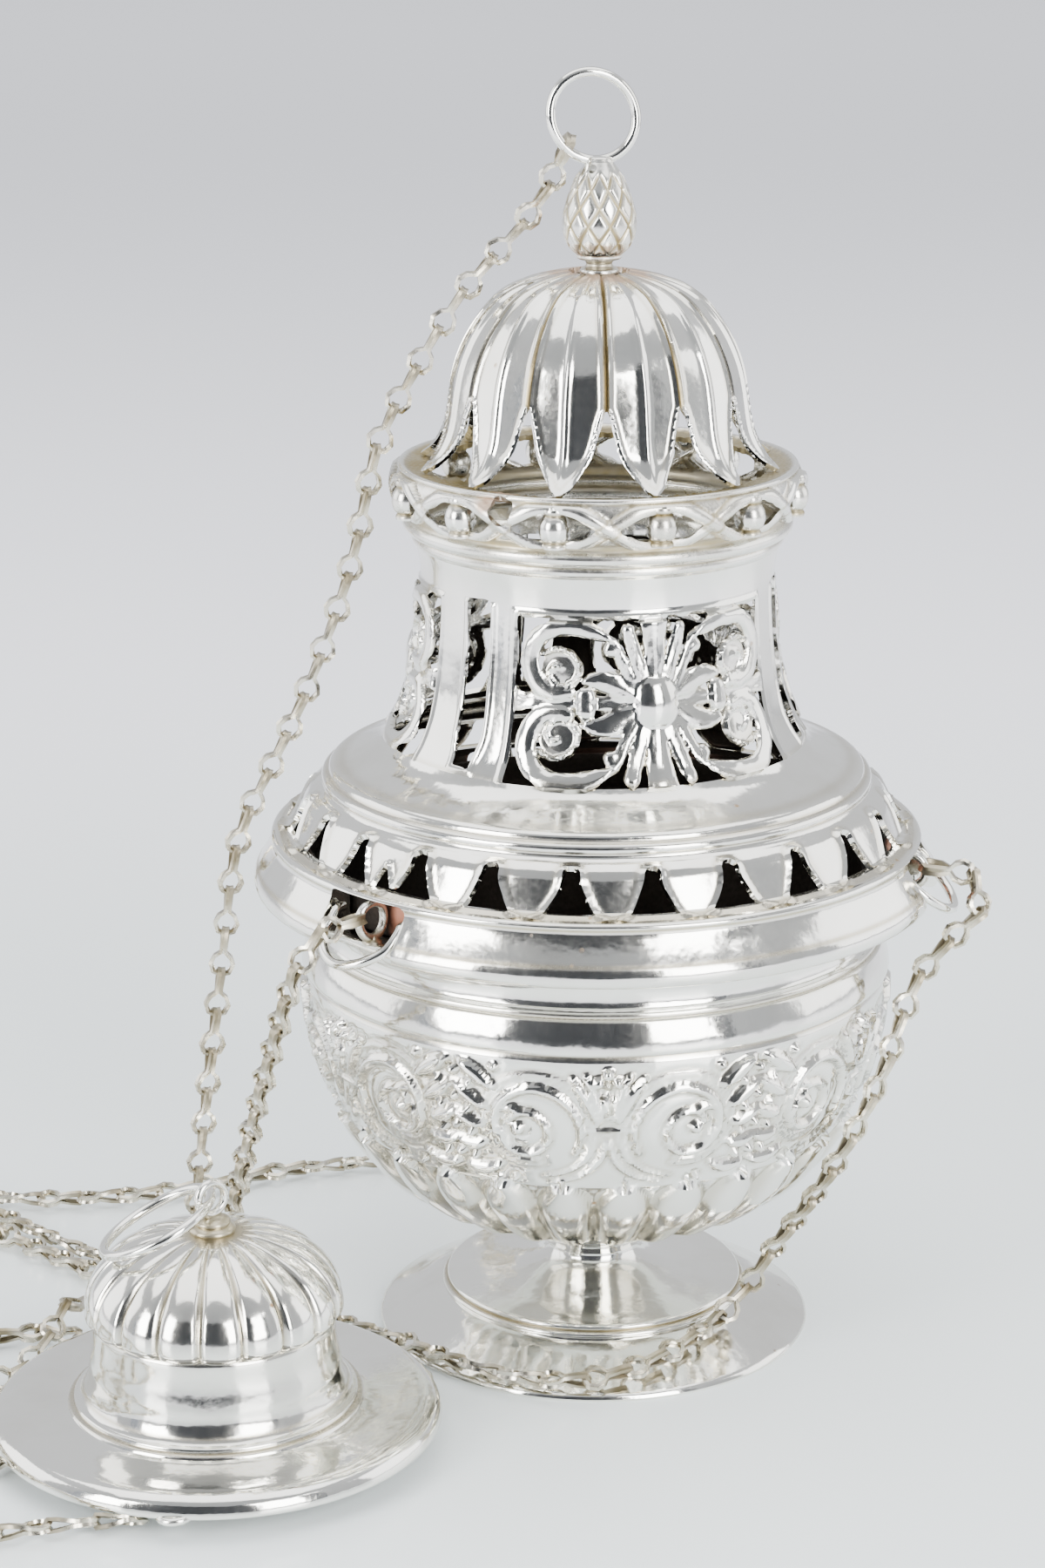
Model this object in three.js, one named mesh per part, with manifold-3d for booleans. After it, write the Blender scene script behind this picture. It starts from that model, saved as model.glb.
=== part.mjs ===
// A silver thurible (hanging incense burner) set down on a table with its hand cap and chains.
// Millimetres, +Z up. The origin is the centre of the foot's underside. Azimuths are degrees
// from the front (-Y), positive towards +X.
import * as THREE from 'three';
import { mergeVertices } from 'three/addons/utils/BufferGeometryUtils.js';
import Module from 'manifold-3d';

const wasm = await Module();
wasm.setup();

// Driving dimensions, bottom to top
const SEAT = 0.3; // clearance between two pieces that rest on each other
const SHEET = 1.2; // wall of raised silver sheet
const FACETS = 32; // facets round the body
const SMALL_FACETS = 24; // facets round the narrower turned pieces
const RING_FACETS = 24; // facets round a large ring of wire
const SMALL_RING_FACETS = 18;

const footRadius = 46;
const footEdge = 1.4;
const footRise = 6.8; // height of the flare above its edge
const footRingRadius = 31;
const spoolRise = 12;
const neckRadius = 8.6;

const bowlBottomRadius = 21;
const bowlHeight = 79.2; // from the bowl's underside to its rim face
const bellyRadius = 61;
const bowlRimRadius = 66.5;
const bowlRimWidth = 6.4;
const bowlWall = 1.6;
const gadroonRise = 1.8; // height of the lobes round the underside
const scrollRise = 1.3; // height of the scrolls and leaves round the belly

const panCollarRadius = bowlRimRadius - 5.5; // the collar stands on the flat rim
const panCollarHeight = 8.2;
const panWall = 1;
const panDepth = 34;
const panMouthRadius = Math.min(bowlRimRadius - bowlRimWidth - 3.5, bellyRadius - 4.4); // hangs clear of rim and wall
const panCupRadius = panMouthRadius - 6.6;
const panLift = 4;

const eyeletRadius = 3.35; // centreline of the small thick rings on the bowl
const eyeletWire = 1.9;

const flangeRadius = bowlRimRadius + 4.7; // overhangs the rim
const flangeHeight = 10.3;
const flangeBore = panCollarRadius + 1.4; // drops over the pan's collar
const tongueBaseRadius = flangeBore + 2.2;
const tongueTopRadius = tongueBaseRadius - 7.6;
const tongueHeight = 8.6;
const shoulderHeight = 10.2;
const drumBaseRadius = 43.2;
const drumWaistRadius = 36.4;
const drumHeight = 40.5;
const galleryRadius = 40.6;
const galleryHeight = 16;
const shelfWidth = 5.5;
const domeHeight = 38.4;
const domeRadius = 30.6;
const domeTipRadius = 37.2;
const leafRise = 1.9; // height of a leaf's middle rib

const finialRadius = 7.3;
const finialHeight = 19.5;
const collarHeight = 1.6;
const finialRingRadius = 8.15;
const finialRingWire = 1.9;

const loopWire = 1.8;
const loopWidth = 18; // centreline width of a guide loop
const loopReach = 12; // from the loop's open ends to its outer wire
const loopDroop = 40; // degrees below level
const notchWidth = loopWidth + loopWire + 2 * SEAT;

const capX = -75.3;
const capY = -62.9;
const capLift = 5.8; // the cap lies on its chains, so its rim stands clear of the table
const capRadius = 44.6;
const capFlareRise = 5;
const capBandRadius = 24.2;
const capBandHeight = 16.4;
const capDomeHeight = 16.6;
const fluteRise = 1.1;
const capCollarRadius = 4.6;
const capCollarHeight = 2.4;
const stapleRadius = 3.3;
const stapleWire = 1.5;
const handRingRadius = 12;
const handRingWire = 1.9;
const handRingDip = 26; // degrees below level at rest
const lugRadius = 3.1; // flat rings under the cap's rim
const lugWire = 1.6;

const chainDiameter = 5.4;
const coilRadius = 27.6; // centreline of the chain's turns
const coilLayers = 1.5;

// The three suspension points, and the twelve leaves and beads that line up with them
const LUG_AZIMUTHS = [-42, 78, 198];
const LEAVES = 12;
const TONGUES = 24;
const TONGUE_PHASE = -4.5;
const GADROONS = 27;
const SCROLL_PAIRS = 6;
const SCROLL_PHASE = 2.6;
const FLUTES = 18;
const FLUTE_PHASE = 9;

// Azimuth and reach of the rings under the cap: three at its edge, one nearer its middle for the lid's chain
const lugReach = capRadius - lugRadius + 1.2;
const CAP_LUGS = [[-5, lugReach], [115, lugReach], [235, lugReach], [270, lugReach - 4.4]];

// Stations worked out from the dimensions above
const footTop = footEdge + footRise;
const spoolBase = footTop + SEAT;
const spoolTop = spoolBase + spoolRise;
const bowlBase = spoolTop + SEAT;
const bowlRim = bowlBase + bowlHeight;
const lidBase = bowlRim + SEAT;
const flangeTop = lidBase + flangeHeight;
const tongueBase = flangeTop + SEAT;
const shoulderBase = tongueBase + tongueHeight;
const shoulderTop = shoulderBase + shoulderHeight;
const drumBase = shoulderTop + SEAT;
const drumTop = drumBase + drumHeight;
const galleryBase = drumTop + SEAT;
const galleryTop = galleryBase + galleryHeight;
const domeBase = galleryTop + SEAT;
const domeTop = domeBase + domeHeight;
const finialCollarBase = domeTop + SEAT;
const finialBase = finialCollarBase + collarHeight + SEAT;
const finialTop = finialBase + finialHeight;

// Finishes
const silver = new THREE.MeshStandardMaterial({ color: 0xd9d8d4, roughness: 0.16, metalness: 1 });
const agedSilver = new THREE.MeshStandardMaterial({ color: 0xc4beac, roughness: 0.28, metalness: 1 });
const chainSilver = new THREE.MeshStandardMaterial({ color: 0xb7b09a, roughness: 0.32, metalness: 1 });
const copper = new THREE.MeshStandardMaterial({ color: 0xb86f58, roughness: 0.4, metalness: 1 });

const radians = THREE.MathUtils.degToRad;

// Solid helpers
function toSolid(geometry) {
  const bare = geometry.index ? geometry.clone() : mergeVertices(geometry.clone());
  bare.deleteAttribute('normal');
  bare.deleteAttribute('uv');
  const merged = mergeVertices(bare, 1e-4);
  const mesh = new wasm.Mesh({
    numProp: 3,
    vertProperties: new Float32Array(merged.attributes.position.array),
    triVerts: new Uint32Array(merged.index.array),
  });
  return new wasm.Manifold(mesh);
}

function toGeometry(solid) {
  const mesh = solid.getMesh();
  const geometry = new THREE.BufferGeometry();
  geometry.setAttribute('position', new THREE.BufferAttribute(new Float32Array(mesh.vertProperties), 3));
  geometry.setIndex(new THREE.BufferAttribute(new Uint32Array(mesh.triVerts), 1));
  geometry.computeVertexNormals();
  return geometry;
}

function moved(geometry, matrix) {
  return geometry.clone().applyMatrix4(matrix);
}

function turned(azimuth) {
  return new THREE.Matrix4().makeRotationZ(radians(azimuth));
}

// A closed profile of [radius, height] pairs, listed anticlockwise, turned round +Z. One of its
// facets' edges stands at the azimuth named by start.
function turnedSolid(profile, facets = FACETS, start = 0) {
  const onAxis = profile[0][0] === 0 && profile[profile.length - 1][0] === 0;
  const points = (onAxis ? profile : [...profile, profile[0]]).map(([r, z]) => new THREE.Vector2(r, z));
  return new THREE.LatheGeometry(points, facets).rotateX(Math.PI / 2).rotateZ(radians(start));
}

// A wall of even thickness from the outer line of [radius, height] pairs, listed bottom to top
function shell(outer, wall, facets = FACETS, start = 0) {
  const inner = outer.map(([r, z], i) => {
    const before = outer[Math.max(i - 1, 0)];
    const after = outer[Math.min(i + 1, outer.length - 1)];
    const dr = after[0] - before[0];
    const dz = after[1] - before[1];
    const length = Math.hypot(dr, dz);
    const level = (i === 0 || i === outer.length - 1) && Math.abs(dz) > Math.abs(dr);
    return level ? [r - wall, z] : [r - (wall * dz) / length, z + (wall * dr) / length];
  });
  return turnedSolid([...outer, ...inner.reverse()], facets, start);
}

// Degrees from an azimuth to the nearest repeat of a pattern
function fromNearest(azimuth, repeats, phase = 0) {
  const turn = azimuth - phase;
  const pitch = 360 / repeats;
  return turn - pitch * Math.round(turn / pitch);
}

const bell = (x) => Math.exp(-x * x);
const { smoothstep } = THREE.MathUtils;

// A turned piece whose outer wall is embossed: each of its corners moves straight out of the wall by
// the height that emboss gives for its azimuth and its height
function embossedSolid(outer, inner, facets, start, emboss) {
  const geometry = turnedSolid([...outer, ...inner], facets, start);
  const corners = geometry.attributes.position;
  const rows = corners.count / (facets + 1);
  for (let i = 0; i < corners.count; i += 1) {
    const row = (i % rows) % (outer.length + inner.length); // a closed profile ends with its first point
    if (row < outer.length) {
      const before = outer[Math.max(row - 1, 0)];
      const after = outer[Math.min(row + 1, outer.length - 1)];
      const azimuth = Math.atan2(corners.getX(i), -corners.getY(i));
      const height = emboss(THREE.MathUtils.radToDeg(azimuth), corners.getZ(i));
      const share = height / Math.hypot(after[0] - before[0], after[1] - before[1]);
      const out = share * (after[1] - before[1]);
      corners.setXYZ(
        i,
        corners.getX(i) + out * Math.sin(azimuth),
        corners.getY(i) - out * Math.cos(azimuth),
        corners.getZ(i) - share * (after[0] - before[0]),
      );
    }
  }
  return geometry;
}

// A flat outline of [x, z] pairs pushed out along the front (-Y) from one depth to another
function radialPrism(outline, near, far) {
  const shape = new THREE.Shape(outline.map(([x, z]) => new THREE.Vector2(x, z)));
  const geometry = new THREE.ExtrudeGeometry(shape, { depth: far - near, bevelEnabled: false });
  return geometry.rotateX(Math.PI / 2).translate(0, -near, 0);
}

function cutAll(body, cutters) {
  let solid = toSolid(body);
  for (const cutter of cutters) solid = solid.subtract(cutter);
  return toGeometry(solid);
}

function ring(radius, wire, around = 20, section = 6) {
  return new THREE.TorusGeometry(radius, wire / 2, section, around);
}

function tube(points, diameter, spacing, sides) {
  const curve = new THREE.CatmullRomCurve3(points.map((p) => new THREE.Vector3(...p)), false, 'centripetal');
  const outline = new THREE.Shape();
  for (let i = 0; i < sides; i += 1) {
    const angle = (2 * Math.PI * i) / sides;
    const x = (diameter / 2) * Math.cos(angle);
    const y = (diameter / 2) * Math.sin(angle);
    if (i === 0) outline.moveTo(x, y);
    else outline.lineTo(x, y);
  }
  outline.closePath();
  const steps = Math.max(2, Math.round(curve.getLength() / spacing));
  return new THREE.ExtrudeGeometry(outline, { steps, bevelEnabled: false, extrudePath: curve });
}

const thurible = new THREE.Group();

function place(name, geometry, material, parent = thurible) {
  const mesh = new THREE.Mesh(geometry, material);
  mesh.name = name;
  parent.add(mesh);
  return mesh;
}

function armAt(azimuth) {
  const arm = new THREE.Group();
  arm.rotation.z = radians(azimuth);
  thurible.add(arm);
  return arm;
}

// Foot: a flared disc with a turned edge, the plate that closes it underneath, and the spool on it
function footBase() {
  return shell([
    [footRadius - 0.2, 0],
    [footRadius, footEdge],
    [footRadius - 5, footEdge + footRise * 0.42],
    [footRingRadius + 1, footTop - 0.4],
    [footRingRadius - 4, footTop],
  ], SHEET);
}

function footPlate() {
  const radius = footRadius - 0.2 - SHEET - SEAT;
  return turnedSolid([[0, 0], [radius, 0], [radius - 0.8, SHEET], [0, SHEET]]);
}

function footSpool() {
  return turnedSolid([
    [0, spoolBase],
    [footRingRadius - 0.6, spoolBase],
    [footRingRadius - 1, spoolBase + 2],
    [neckRadius + 11, spoolBase + 3.1],
    [neckRadius + 3, spoolBase + 5],
    [neckRadius, spoolBase + spoolRise * 0.62],
    [neckRadius + 3.4, spoolTop],
    [0, spoolTop],
  ], SMALL_FACETS);
}

// Bowl: gadrooned bottom, full belly, moulded neck and a flat rim that the lid sits on
const gadroonBase = bowlBase + bowlHeight * 0.12;
const gadroonTop = bowlBase + bowlHeight * 0.385;
const scrollTop = bowlBase + bowlHeight * 0.73;
const scrollMiddle = bowlBase + bowlHeight * 0.56;
const scrollSpread = 14.4; // degrees from the middle of a pair to each of its scrolls
const scrollRadius = 9;

// Lobes with round tops, then scrolls round a boss, in pairs with a leaf between two pairs
function bowlEmboss(azimuth, height) {
  if (height < gadroonTop) {
    const share = (height - gadroonBase) / (gadroonTop - gadroonBase);
    const lobe = fromNearest(azimuth, GADROONS, 180 / GADROONS) / (180 / GADROONS);
    const top = Math.max(share - 0.66, 0) / 0.34;
    const egg = Math.sqrt(Math.max(1 - lobe * lobe - top * top, 0));
    return share <= 0 ? 0 : gadroonRise * egg * Math.min(1, 6 * share);
  }
  if (height > scrollTop) return 0;
  const turn = Math.abs(fromNearest(azimuth, SCROLL_PAIRS, SCROLL_PHASE));
  const across = radians(turn - scrollSpread) * bellyRadius;
  const away = Math.hypot(across, height - scrollMiddle);
  const scroll = bell((away - scrollRadius) / 2.4) + bell(away / 3.4);
  const leaf = bell((turn - 180 / SCROLL_PAIRS + 4.5) / 4.4) * bell((height - scrollMiddle + 2) / 11);
  return scrollRise * Math.min(1, Math.max(scroll, leaf)) * smoothstep(height, gadroonTop, gadroonTop + 2);
}

function bowlShell() {
  const rise = (share) => bowlBase + bowlHeight * share;
  const outer = [
    [0, bowlBase],
    [bowlBottomRadius * 0.62, bowlBase],
    [bowlBottomRadius + 1, rise(0.055)],
    [bellyRadius * 0.59, rise(0.118)],
    [bellyRadius * 0.665, rise(0.158)],
    [bellyRadius * 0.755, rise(0.217)],
    [bellyRadius * 0.83, rise(0.283)],
    [bellyRadius * 0.885, rise(0.345)],
    [bellyRadius * 0.917, rise(0.39)],
    [bellyRadius * 0.945, rise(0.445)],
    [bellyRadius * 0.968, rise(0.5)],
    [bellyRadius * 0.981, rise(0.545)],
    [bellyRadius * 0.989, rise(0.59)],
    [bellyRadius * 0.995, rise(0.64)],
    [bellyRadius, rise(0.69)],
    [bellyRadius, rise(0.735)],
    [bellyRadius, rise(0.835)],
    [bellyRadius - 1.6, rise(0.87)],
    [bellyRadius - 0.4, rise(0.935)],
    [bowlRimRadius, rise(0.985)],
    [bowlRimRadius, bowlRim],
  ];
  const inner = [
    [bowlRimRadius - bowlRimWidth, bowlRim],
    [bellyRadius - 2.8, rise(0.93)],
    [bellyRadius - 3, rise(0.85)],
    [bellyRadius - bowlWall, rise(0.7)],
    [bellyRadius * 0.925 - bowlWall * 1.05, rise(0.42)],
    [bellyRadius * 0.795 - bowlWall * 0.95, rise(0.265)],
    [bellyRadius * 0.6 - bowlWall * 0.7, rise(0.145)],
    [bowlBottomRadius * 0.62, bowlBase + bowlWall],
    [0, bowlBase + bowlWall],
  ];
  return embossedSolid(outer, inner, 3 * GADROONS, 0, bowlEmboss);
}

// Copper fire pan: a cup for the charcoal, hung in the bowl by the collar on its rim
function firePan() {
  const lip = bowlRim + SEAT;
  const lipTop = lip + panWall;
  const seatRadius = panCollarRadius;
  return turnedSolid([
    [0, bowlRim - panDepth],
    [panCupRadius - 8, bowlRim - panDepth],
    [panCupRadius, bowlRim - panDepth + 8],
    [panMouthRadius, bowlRim - 9],
    [panMouthRadius, lip],
    [seatRadius, lip],
    [seatRadius, lip + panCollarHeight],
    [seatRadius - panWall, lip + panCollarHeight],
    [seatRadius - panWall, lipTop],
    [panMouthRadius - panWall, lipTop],
    [panMouthRadius - panWall, bowlRim - 8.6],
    [panCupRadius - panWall, bowlRim - panDepth + 8.6],
    [panCupRadius - 8.5, bowlRim - panDepth + panWall],
    [0, bowlRim - panDepth + panWall],
  ], SMALL_FACETS);
}

// Eyelets: small thick rings that stand on the bowl's rim, in the notches of the lid
const eyeletOuter = eyeletRadius + eyeletWire / 2;
const eyeletReach = panCollarRadius + SEAT + eyeletOuter;
const eyeletHeight = bowlRim + SEAT + eyeletOuter;

function eyelet() {
  return ring(eyeletRadius, eyeletWire, SMALL_RING_FACETS).rotateY(Math.PI / 2);
}

// Lid flange: a hollow stepped moulding, notched where the eyelets stand
function lidFlange() {
  const skirt = [
    [flangeBore, lidBase],
    [bowlRimRadius - 1.2, lidBase],
    [bowlRimRadius, lidBase + 1.1],
    [flangeRadius - 0.8, lidBase + 0.9],
    [flangeRadius, lidBase + 2.4],
    [flangeRadius - 0.6, lidBase + 4.4],
    [flangeRadius - 2.4, lidBase + 5.6],
    [flangeRadius - 1.9, lidBase + 7.4],
    [flangeRadius - 4.6, flangeTop],
    [flangeBore, flangeTop],
  ];
  const half = notchWidth / 2;
  const slot = radialPrism([
    [-half, lidBase - 2], [half, lidBase - 2], [half, flangeTop - 0.9], [-half, flangeTop - 0.9],
  ], flangeBore - 6, flangeRadius + 6);
  return cutAll(turnedSolid(skirt), LUG_AZIMUTHS.map((a) => toSolid(moved(slot, turned(a)))));
}

// Guide loops: open wire loops soldered into the notches, where the chains run through the lid
const loopRoot = flangeRadius - loopWire / 2 - 4.2;
const loopHeight = lidBase + flangeHeight * 0.5;

function guideLoop() {
  const droop = radians(loopDroop);
  const half = loopWidth / 2;
  const corner = half * 0.55;
  const line = [
    [-half, 0], [-half + 0.1, loopReach * 0.22], [-half + 0.5, loopReach * 0.5], [-corner, loopReach * 0.86],
    [0, loopReach],
    [corner, loopReach * 0.86], [half - 0.5, loopReach * 0.5], [half - 0.1, loopReach * 0.22], [half, 0],
  ];
  const points = line.map(([x, out]) => [
    x,
    -loopRoot - out * Math.cos(droop),
    loopHeight - out * Math.sin(droop),
  ]);
  return tube(points, loopWire, 3, 6);
}

// Shoulder: the cone of pointed tongues, the stepped rings above it and the cove under the drum
function lidShoulder() {
  const outer = [
    [tongueBaseRadius, tongueBase],
    [tongueTopRadius + 0.4, tongueBase + tongueHeight * 0.86],
    [tongueTopRadius - 0.6, shoulderBase + shoulderHeight * 0.16],
    [tongueTopRadius - 2.6, shoulderBase + shoulderHeight * 0.54],
    [drumBaseRadius + 4, shoulderBase + shoulderHeight * 0.86],
    [drumBaseRadius - 0.6, shoulderTop],
  ];
  const pitch = (2 * Math.PI * tongueBaseRadius) / TONGUES;
  const open = tongueBase + 1;
  const gap = radialPrism([
    [-pitch * 0.3, open],
    [pitch * 0.3, open],
    [pitch * 0.06, open + tongueHeight * 0.72],
    [-pitch * 0.06, open + tongueHeight * 0.72],
  ], tongueTopRadius - 8, tongueBaseRadius + 4);
  const cutters = [];
  for (let i = 0; i < TONGUES; i += 1) {
    cutters.push(toSolid(moved(gap, turned(TONGUE_PHASE + (360 * i) / TONGUES))));
  }
  return cutAll(shell(outer, SHEET, TONGUES, TONGUE_PHASE + 180 / TONGUES), cutters);
}

// Drum: a waisted wall with three pierced windows of scrolls round a flower, and three slots
const WINDOW_HALF = drumWaistRadius * 0.783;
const windowLow = drumBase + 1.6;
const windowHigh = drumTop - 6.5;
const windowMiddle = (windowLow + windowHigh) / 2;
const windowReach = (windowHigh - windowLow) / 2;
const slotHalf = 2.4;

// Openings of one quarter of a window, as [across, up] pairs from its middle, mirrored four ways
const WINDOW_OPENINGS = [
  [[3, 4.6], [8.6, 4.2], [11, 15.4], [4, 15.4]],
  [[13, 10.6], [13.4, 4], [24.4, 3.2], [19, 8.8]],
  [[15.6, 15.4], [22, 11.6], [WINDOW_HALF - 1.2, 5], [WINDOW_HALF - 2.3, 15.4]],
];

function drumWall() {
  const rise = (share) => drumBase + drumHeight * share;
  return shell([
    [drumBaseRadius, drumBase],
    [drumBaseRadius - 3.8, rise(0.28)],
    [drumWaistRadius + 0.4, rise(0.7)],
    [drumWaistRadius + 0.6, drumTop],
  ], SHEET, SMALL_FACETS);
}

function windowCutters() {
  const cutters = [];
  for (const opening of WINDOW_OPENINGS) {
    for (const side of [-1, 1]) {
      for (const level of [-1, 1]) {
        const outline = opening.map(([x, z]) => [side * x, windowMiddle + level * z * (windowReach / 16)]);
        if (side * level < 0) outline.reverse();
        cutters.push(radialPrism(outline, drumWaistRadius * 0.44, drumBaseRadius + 6));
      }
    }
  }
  return cutters;
}

function lidDrum() {
  const openings = windowCutters();
  const slot = radialPrism([
    [-slotHalf, windowLow + 2], [slotHalf, windowLow + 2], [slotHalf, windowHigh], [-slotHalf, windowHigh],
  ], drumWaistRadius * 0.55, drumBaseRadius + 6);
  const cutters = [];
  for (const azimuth of LUG_AZIMUTHS) {
    cutters.push(toSolid(moved(slot, turned(azimuth))));
    for (const opening of openings) cutters.push(toSolid(moved(opening, turned(azimuth + 60))));
  }
  return cutAll(drumWall(), cutters);
}

// Gallery: a torus moulding, a band of lens-shaped piercings with a bead in each, and a flat shelf
function lidGallery() {
  const rise = (share) => galleryBase + galleryHeight * share;
  const outer = [
    [drumWaistRadius + 1.6, galleryBase],
    [galleryRadius - 1.2, rise(0.12)],
    [galleryRadius - 1.9, rise(0.34)],
    [galleryRadius, rise(0.6)],
    [galleryRadius - 0.4, galleryTop],
  ];
  const inner = [
    [galleryRadius - shelfWidth, galleryTop],
    [galleryRadius - shelfWidth, galleryTop - SHEET],
    [galleryRadius - SHEET - 0.2, galleryTop - SHEET],
    [galleryRadius - SHEET, rise(0.58)],
    [drumWaistRadius + 1.4, rise(0.33)],
    [drumWaistRadius - 0.2, galleryBase],
  ];
  const band = (2 * Math.PI * galleryRadius) / LEAVES;
  const middle = rise(0.62);
  const tall = galleryHeight * 0.17;
  const cutters = [];
  for (let i = 0; i < LEAVES; i += 1) {
    const azimuth = LUG_AZIMUTHS[0] + (360 * i) / LEAVES;
    for (const side of [-1, 1]) {
      const outline = [
        [side * band * 0.12, middle - tall], [side * band * 0.4, middle], [side * band * 0.12, middle + tall],
      ];
      if (side < 0) outline.reverse();
      const opening = radialPrism(outline, galleryRadius - 8, galleryRadius + 6);
      cutters.push(toSolid(moved(opening, turned(azimuth))));
    }
  }
  return cutAll(turnedSolid([...outer, ...inner], 2 * LEAVES, LUG_AZIMUTHS[0]), cutters);
}

// Dome: twelve pointed leaves whose tips stand on the shelf, with open arches between the tips
function leafDome() {
  const rise = (share) => domeBase + domeHeight * share;
  const outer = [
    [domeTipRadius, domeBase],
    [domeRadius + 2.6, rise(0.09)],
    [domeRadius, rise(0.3)],
    [domeRadius - 2.6, rise(0.59)],
    [domeRadius - 6, rise(0.775)],
    [domeRadius * 0.624, rise(0.92)],
    [domeRadius * 0.395, domeTop],
    [0, domeTop],
  ];
  const wall = SHEET;
  const inner = [
    [0, domeTop - wall],
    [domeRadius * 0.386, domeTop - wall],
    [domeRadius * 0.601, rise(0.92) - wall * 0.95],
    [domeRadius - 7, rise(0.775) - wall * 0.6],
    [domeRadius - 2.6 - wall, rise(0.59)],
    [domeRadius - wall, rise(0.3)],
    [domeRadius + 2.2 - wall, rise(0.09)],
    [domeTipRadius - wall * 1.6, domeBase],
  ];
  // Each leaf has a rib down its middle and meets the next one in a groove
  const emboss = (azimuth, height) => {
    const across = fromNearest(azimuth, LEAVES, LUG_AZIMUTHS[0]) / (180 / LEAVES);
    const crown = Math.max(1 - across ** 4, 0) * (0.65 + 0.35 * bell(4 * across));
    const fade = smoothstep(height, domeBase, rise(0.3)) * (1 - smoothstep(height, rise(0.8), rise(0.95)));
    return leafRise * crown * fade;
  };
  const pitch = (2 * Math.PI * domeRadius) / LEAVES;
  const tall = domeHeight * 0.42;
  const arch = radialPrism([
    [-pitch * 0.5, domeBase - 1], [pitch * 0.5, domeBase - 1],
    [pitch * 0.24, domeBase + tall * 0.42], [0, domeBase + tall], [-pitch * 0.24, domeBase + tall * 0.42],
  ], domeRadius - 8, domeTipRadius + 6);
  const cutters = [];
  for (let i = 0; i < LEAVES; i += 1) {
    cutters.push(toSolid(moved(arch, turned(LUG_AZIMUTHS[0] + (360 * (i + 0.5)) / LEAVES))));
  }
  return cutAll(embossedSolid(outer, inner, 4 * LEAVES, LUG_AZIMUTHS[0], emboss), cutters);
}

// Finial: a cast pine cone on a turned collar, with a ring of wire soldered to its tip
function finialCollar() {
  return turnedSolid([
    [0, finialCollarBase],
    [3.4, finialCollarBase],
    [2.7, finialCollarBase + collarHeight * 0.35],
    [2.9, finialCollarBase + collarHeight * 0.6],
    [4.2, finialCollarBase + collarHeight * 0.8],
    [4.2, finialCollarBase + collarHeight],
    [0, finialCollarBase + collarHeight],
  ], 20);
}

function finialCone() {
  const rise = (share) => finialBase + finialHeight * share;
  return turnedSolid([
    [0, finialBase],
    [finialRadius * 0.56, finialBase],
    [finialRadius * 0.88, rise(0.16)],
    [finialRadius, rise(0.38)],
    [finialRadius * 0.92, rise(0.6)],
    [finialRadius * 0.66, rise(0.82)],
    [finialRadius * 0.34, rise(0.97)],
    [finialRadius * 0.2, finialTop],
    [0, finialTop],
  ], 16);
}

// Cap: the flared disc that the hand holds, its fluted dome, and the staple that carries the ring
const capFlareTop = capLift + capFlareRise;
const capBandBase = capFlareTop + SEAT;
const capBandTop = capBandBase + capBandHeight;
const capDomeBase = capBandTop + SEAT;
const capDomeTop = capDomeBase + capDomeHeight;
const capCollarBase = capDomeTop + SEAT;
const capCollarTop = capCollarBase + capCollarHeight;
const stapleHeight = capCollarTop + SEAT + stapleRadius + stapleWire / 2;

function capFlare() {
  const bore = capBandRadius + 0.4;
  return turnedSolid([
    [capRadius - 1.8, capLift],
    [capRadius - 0.6, capLift],
    [capRadius, capLift + 0.7],
    [capRadius - 0.8, capLift + 1.4],
    [capBandRadius + 8, capLift + 3.2],
    [capBandRadius + 3, capFlareTop],
    [bore, capFlareTop],
    [bore, capFlareTop - SHEET],
    [capBandRadius + 2.4, capFlareTop - SHEET],
    [capBandRadius + 7.6, capLift + 3.2 - SHEET],
  ], SMALL_FACETS);
}

function capBand() {
  return shell([
    [capBandRadius + 1.9, capBandBase],
    [capBandRadius + 1.9, capBandBase + 1.4],
    [capBandRadius - 0.5, capBandBase + 2.4],
    [capBandRadius - 0.2, capBandBase + capBandHeight * 0.45],
    [capBandRadius + 0.2, capBandBase + capBandHeight * 0.9],
    [capBandRadius - 0.2, capBandTop],
  ], SHEET, SMALL_FACETS);
}

function capDome() {
  const rise = (share) => capDomeBase + capDomeHeight * share;
  const outer = [
    [capBandRadius, capDomeBase],
    [capBandRadius + 0.6, rise(0.16)],
    [capBandRadius - 1.4, rise(0.42)],
    [capBandRadius - 6, rise(0.7)],
    [capBandRadius - 12.5, rise(0.91)],
    [capCollarRadius, capDomeTop],
    [0, capDomeTop],
  ];
  const inner = [
    [0, capDomeTop - SHEET],
    [capCollarRadius, capDomeTop - SHEET],
    [capBandRadius - 13.2, rise(0.91) - SHEET],
    [capBandRadius - 7.2, rise(0.7) - SHEET * 0.7],
    [capBandRadius - 2.8, rise(0.42) - SHEET * 0.2],
    [capBandRadius + 0.6 - SHEET, rise(0.14)],
    [capBandRadius - SHEET, capDomeBase],
  ];
  const emboss = (azimuth, height) => {
    const across = fromNearest(azimuth, FLUTES, FLUTE_PHASE) / (180 / FLUTES);
    return fluteRise * (1 - across * across) * (1 - smoothstep(height, rise(0.4), capDomeTop));
  };
  return embossedSolid(outer, inner, 2 * FLUTES, FLUTE_PHASE, emboss);
}

function capCollar() {
  return turnedSolid([
    [0, capCollarBase],
    [capCollarRadius, capCollarBase],
    [capCollarRadius - 0.9, capCollarBase + capCollarHeight * 0.4],
    [capCollarRadius - 0.5, capCollarBase + capCollarHeight * 0.75],
    [capCollarRadius - 1.6, capCollarTop],
    [0, capCollarTop],
  ], 20);
}

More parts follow.
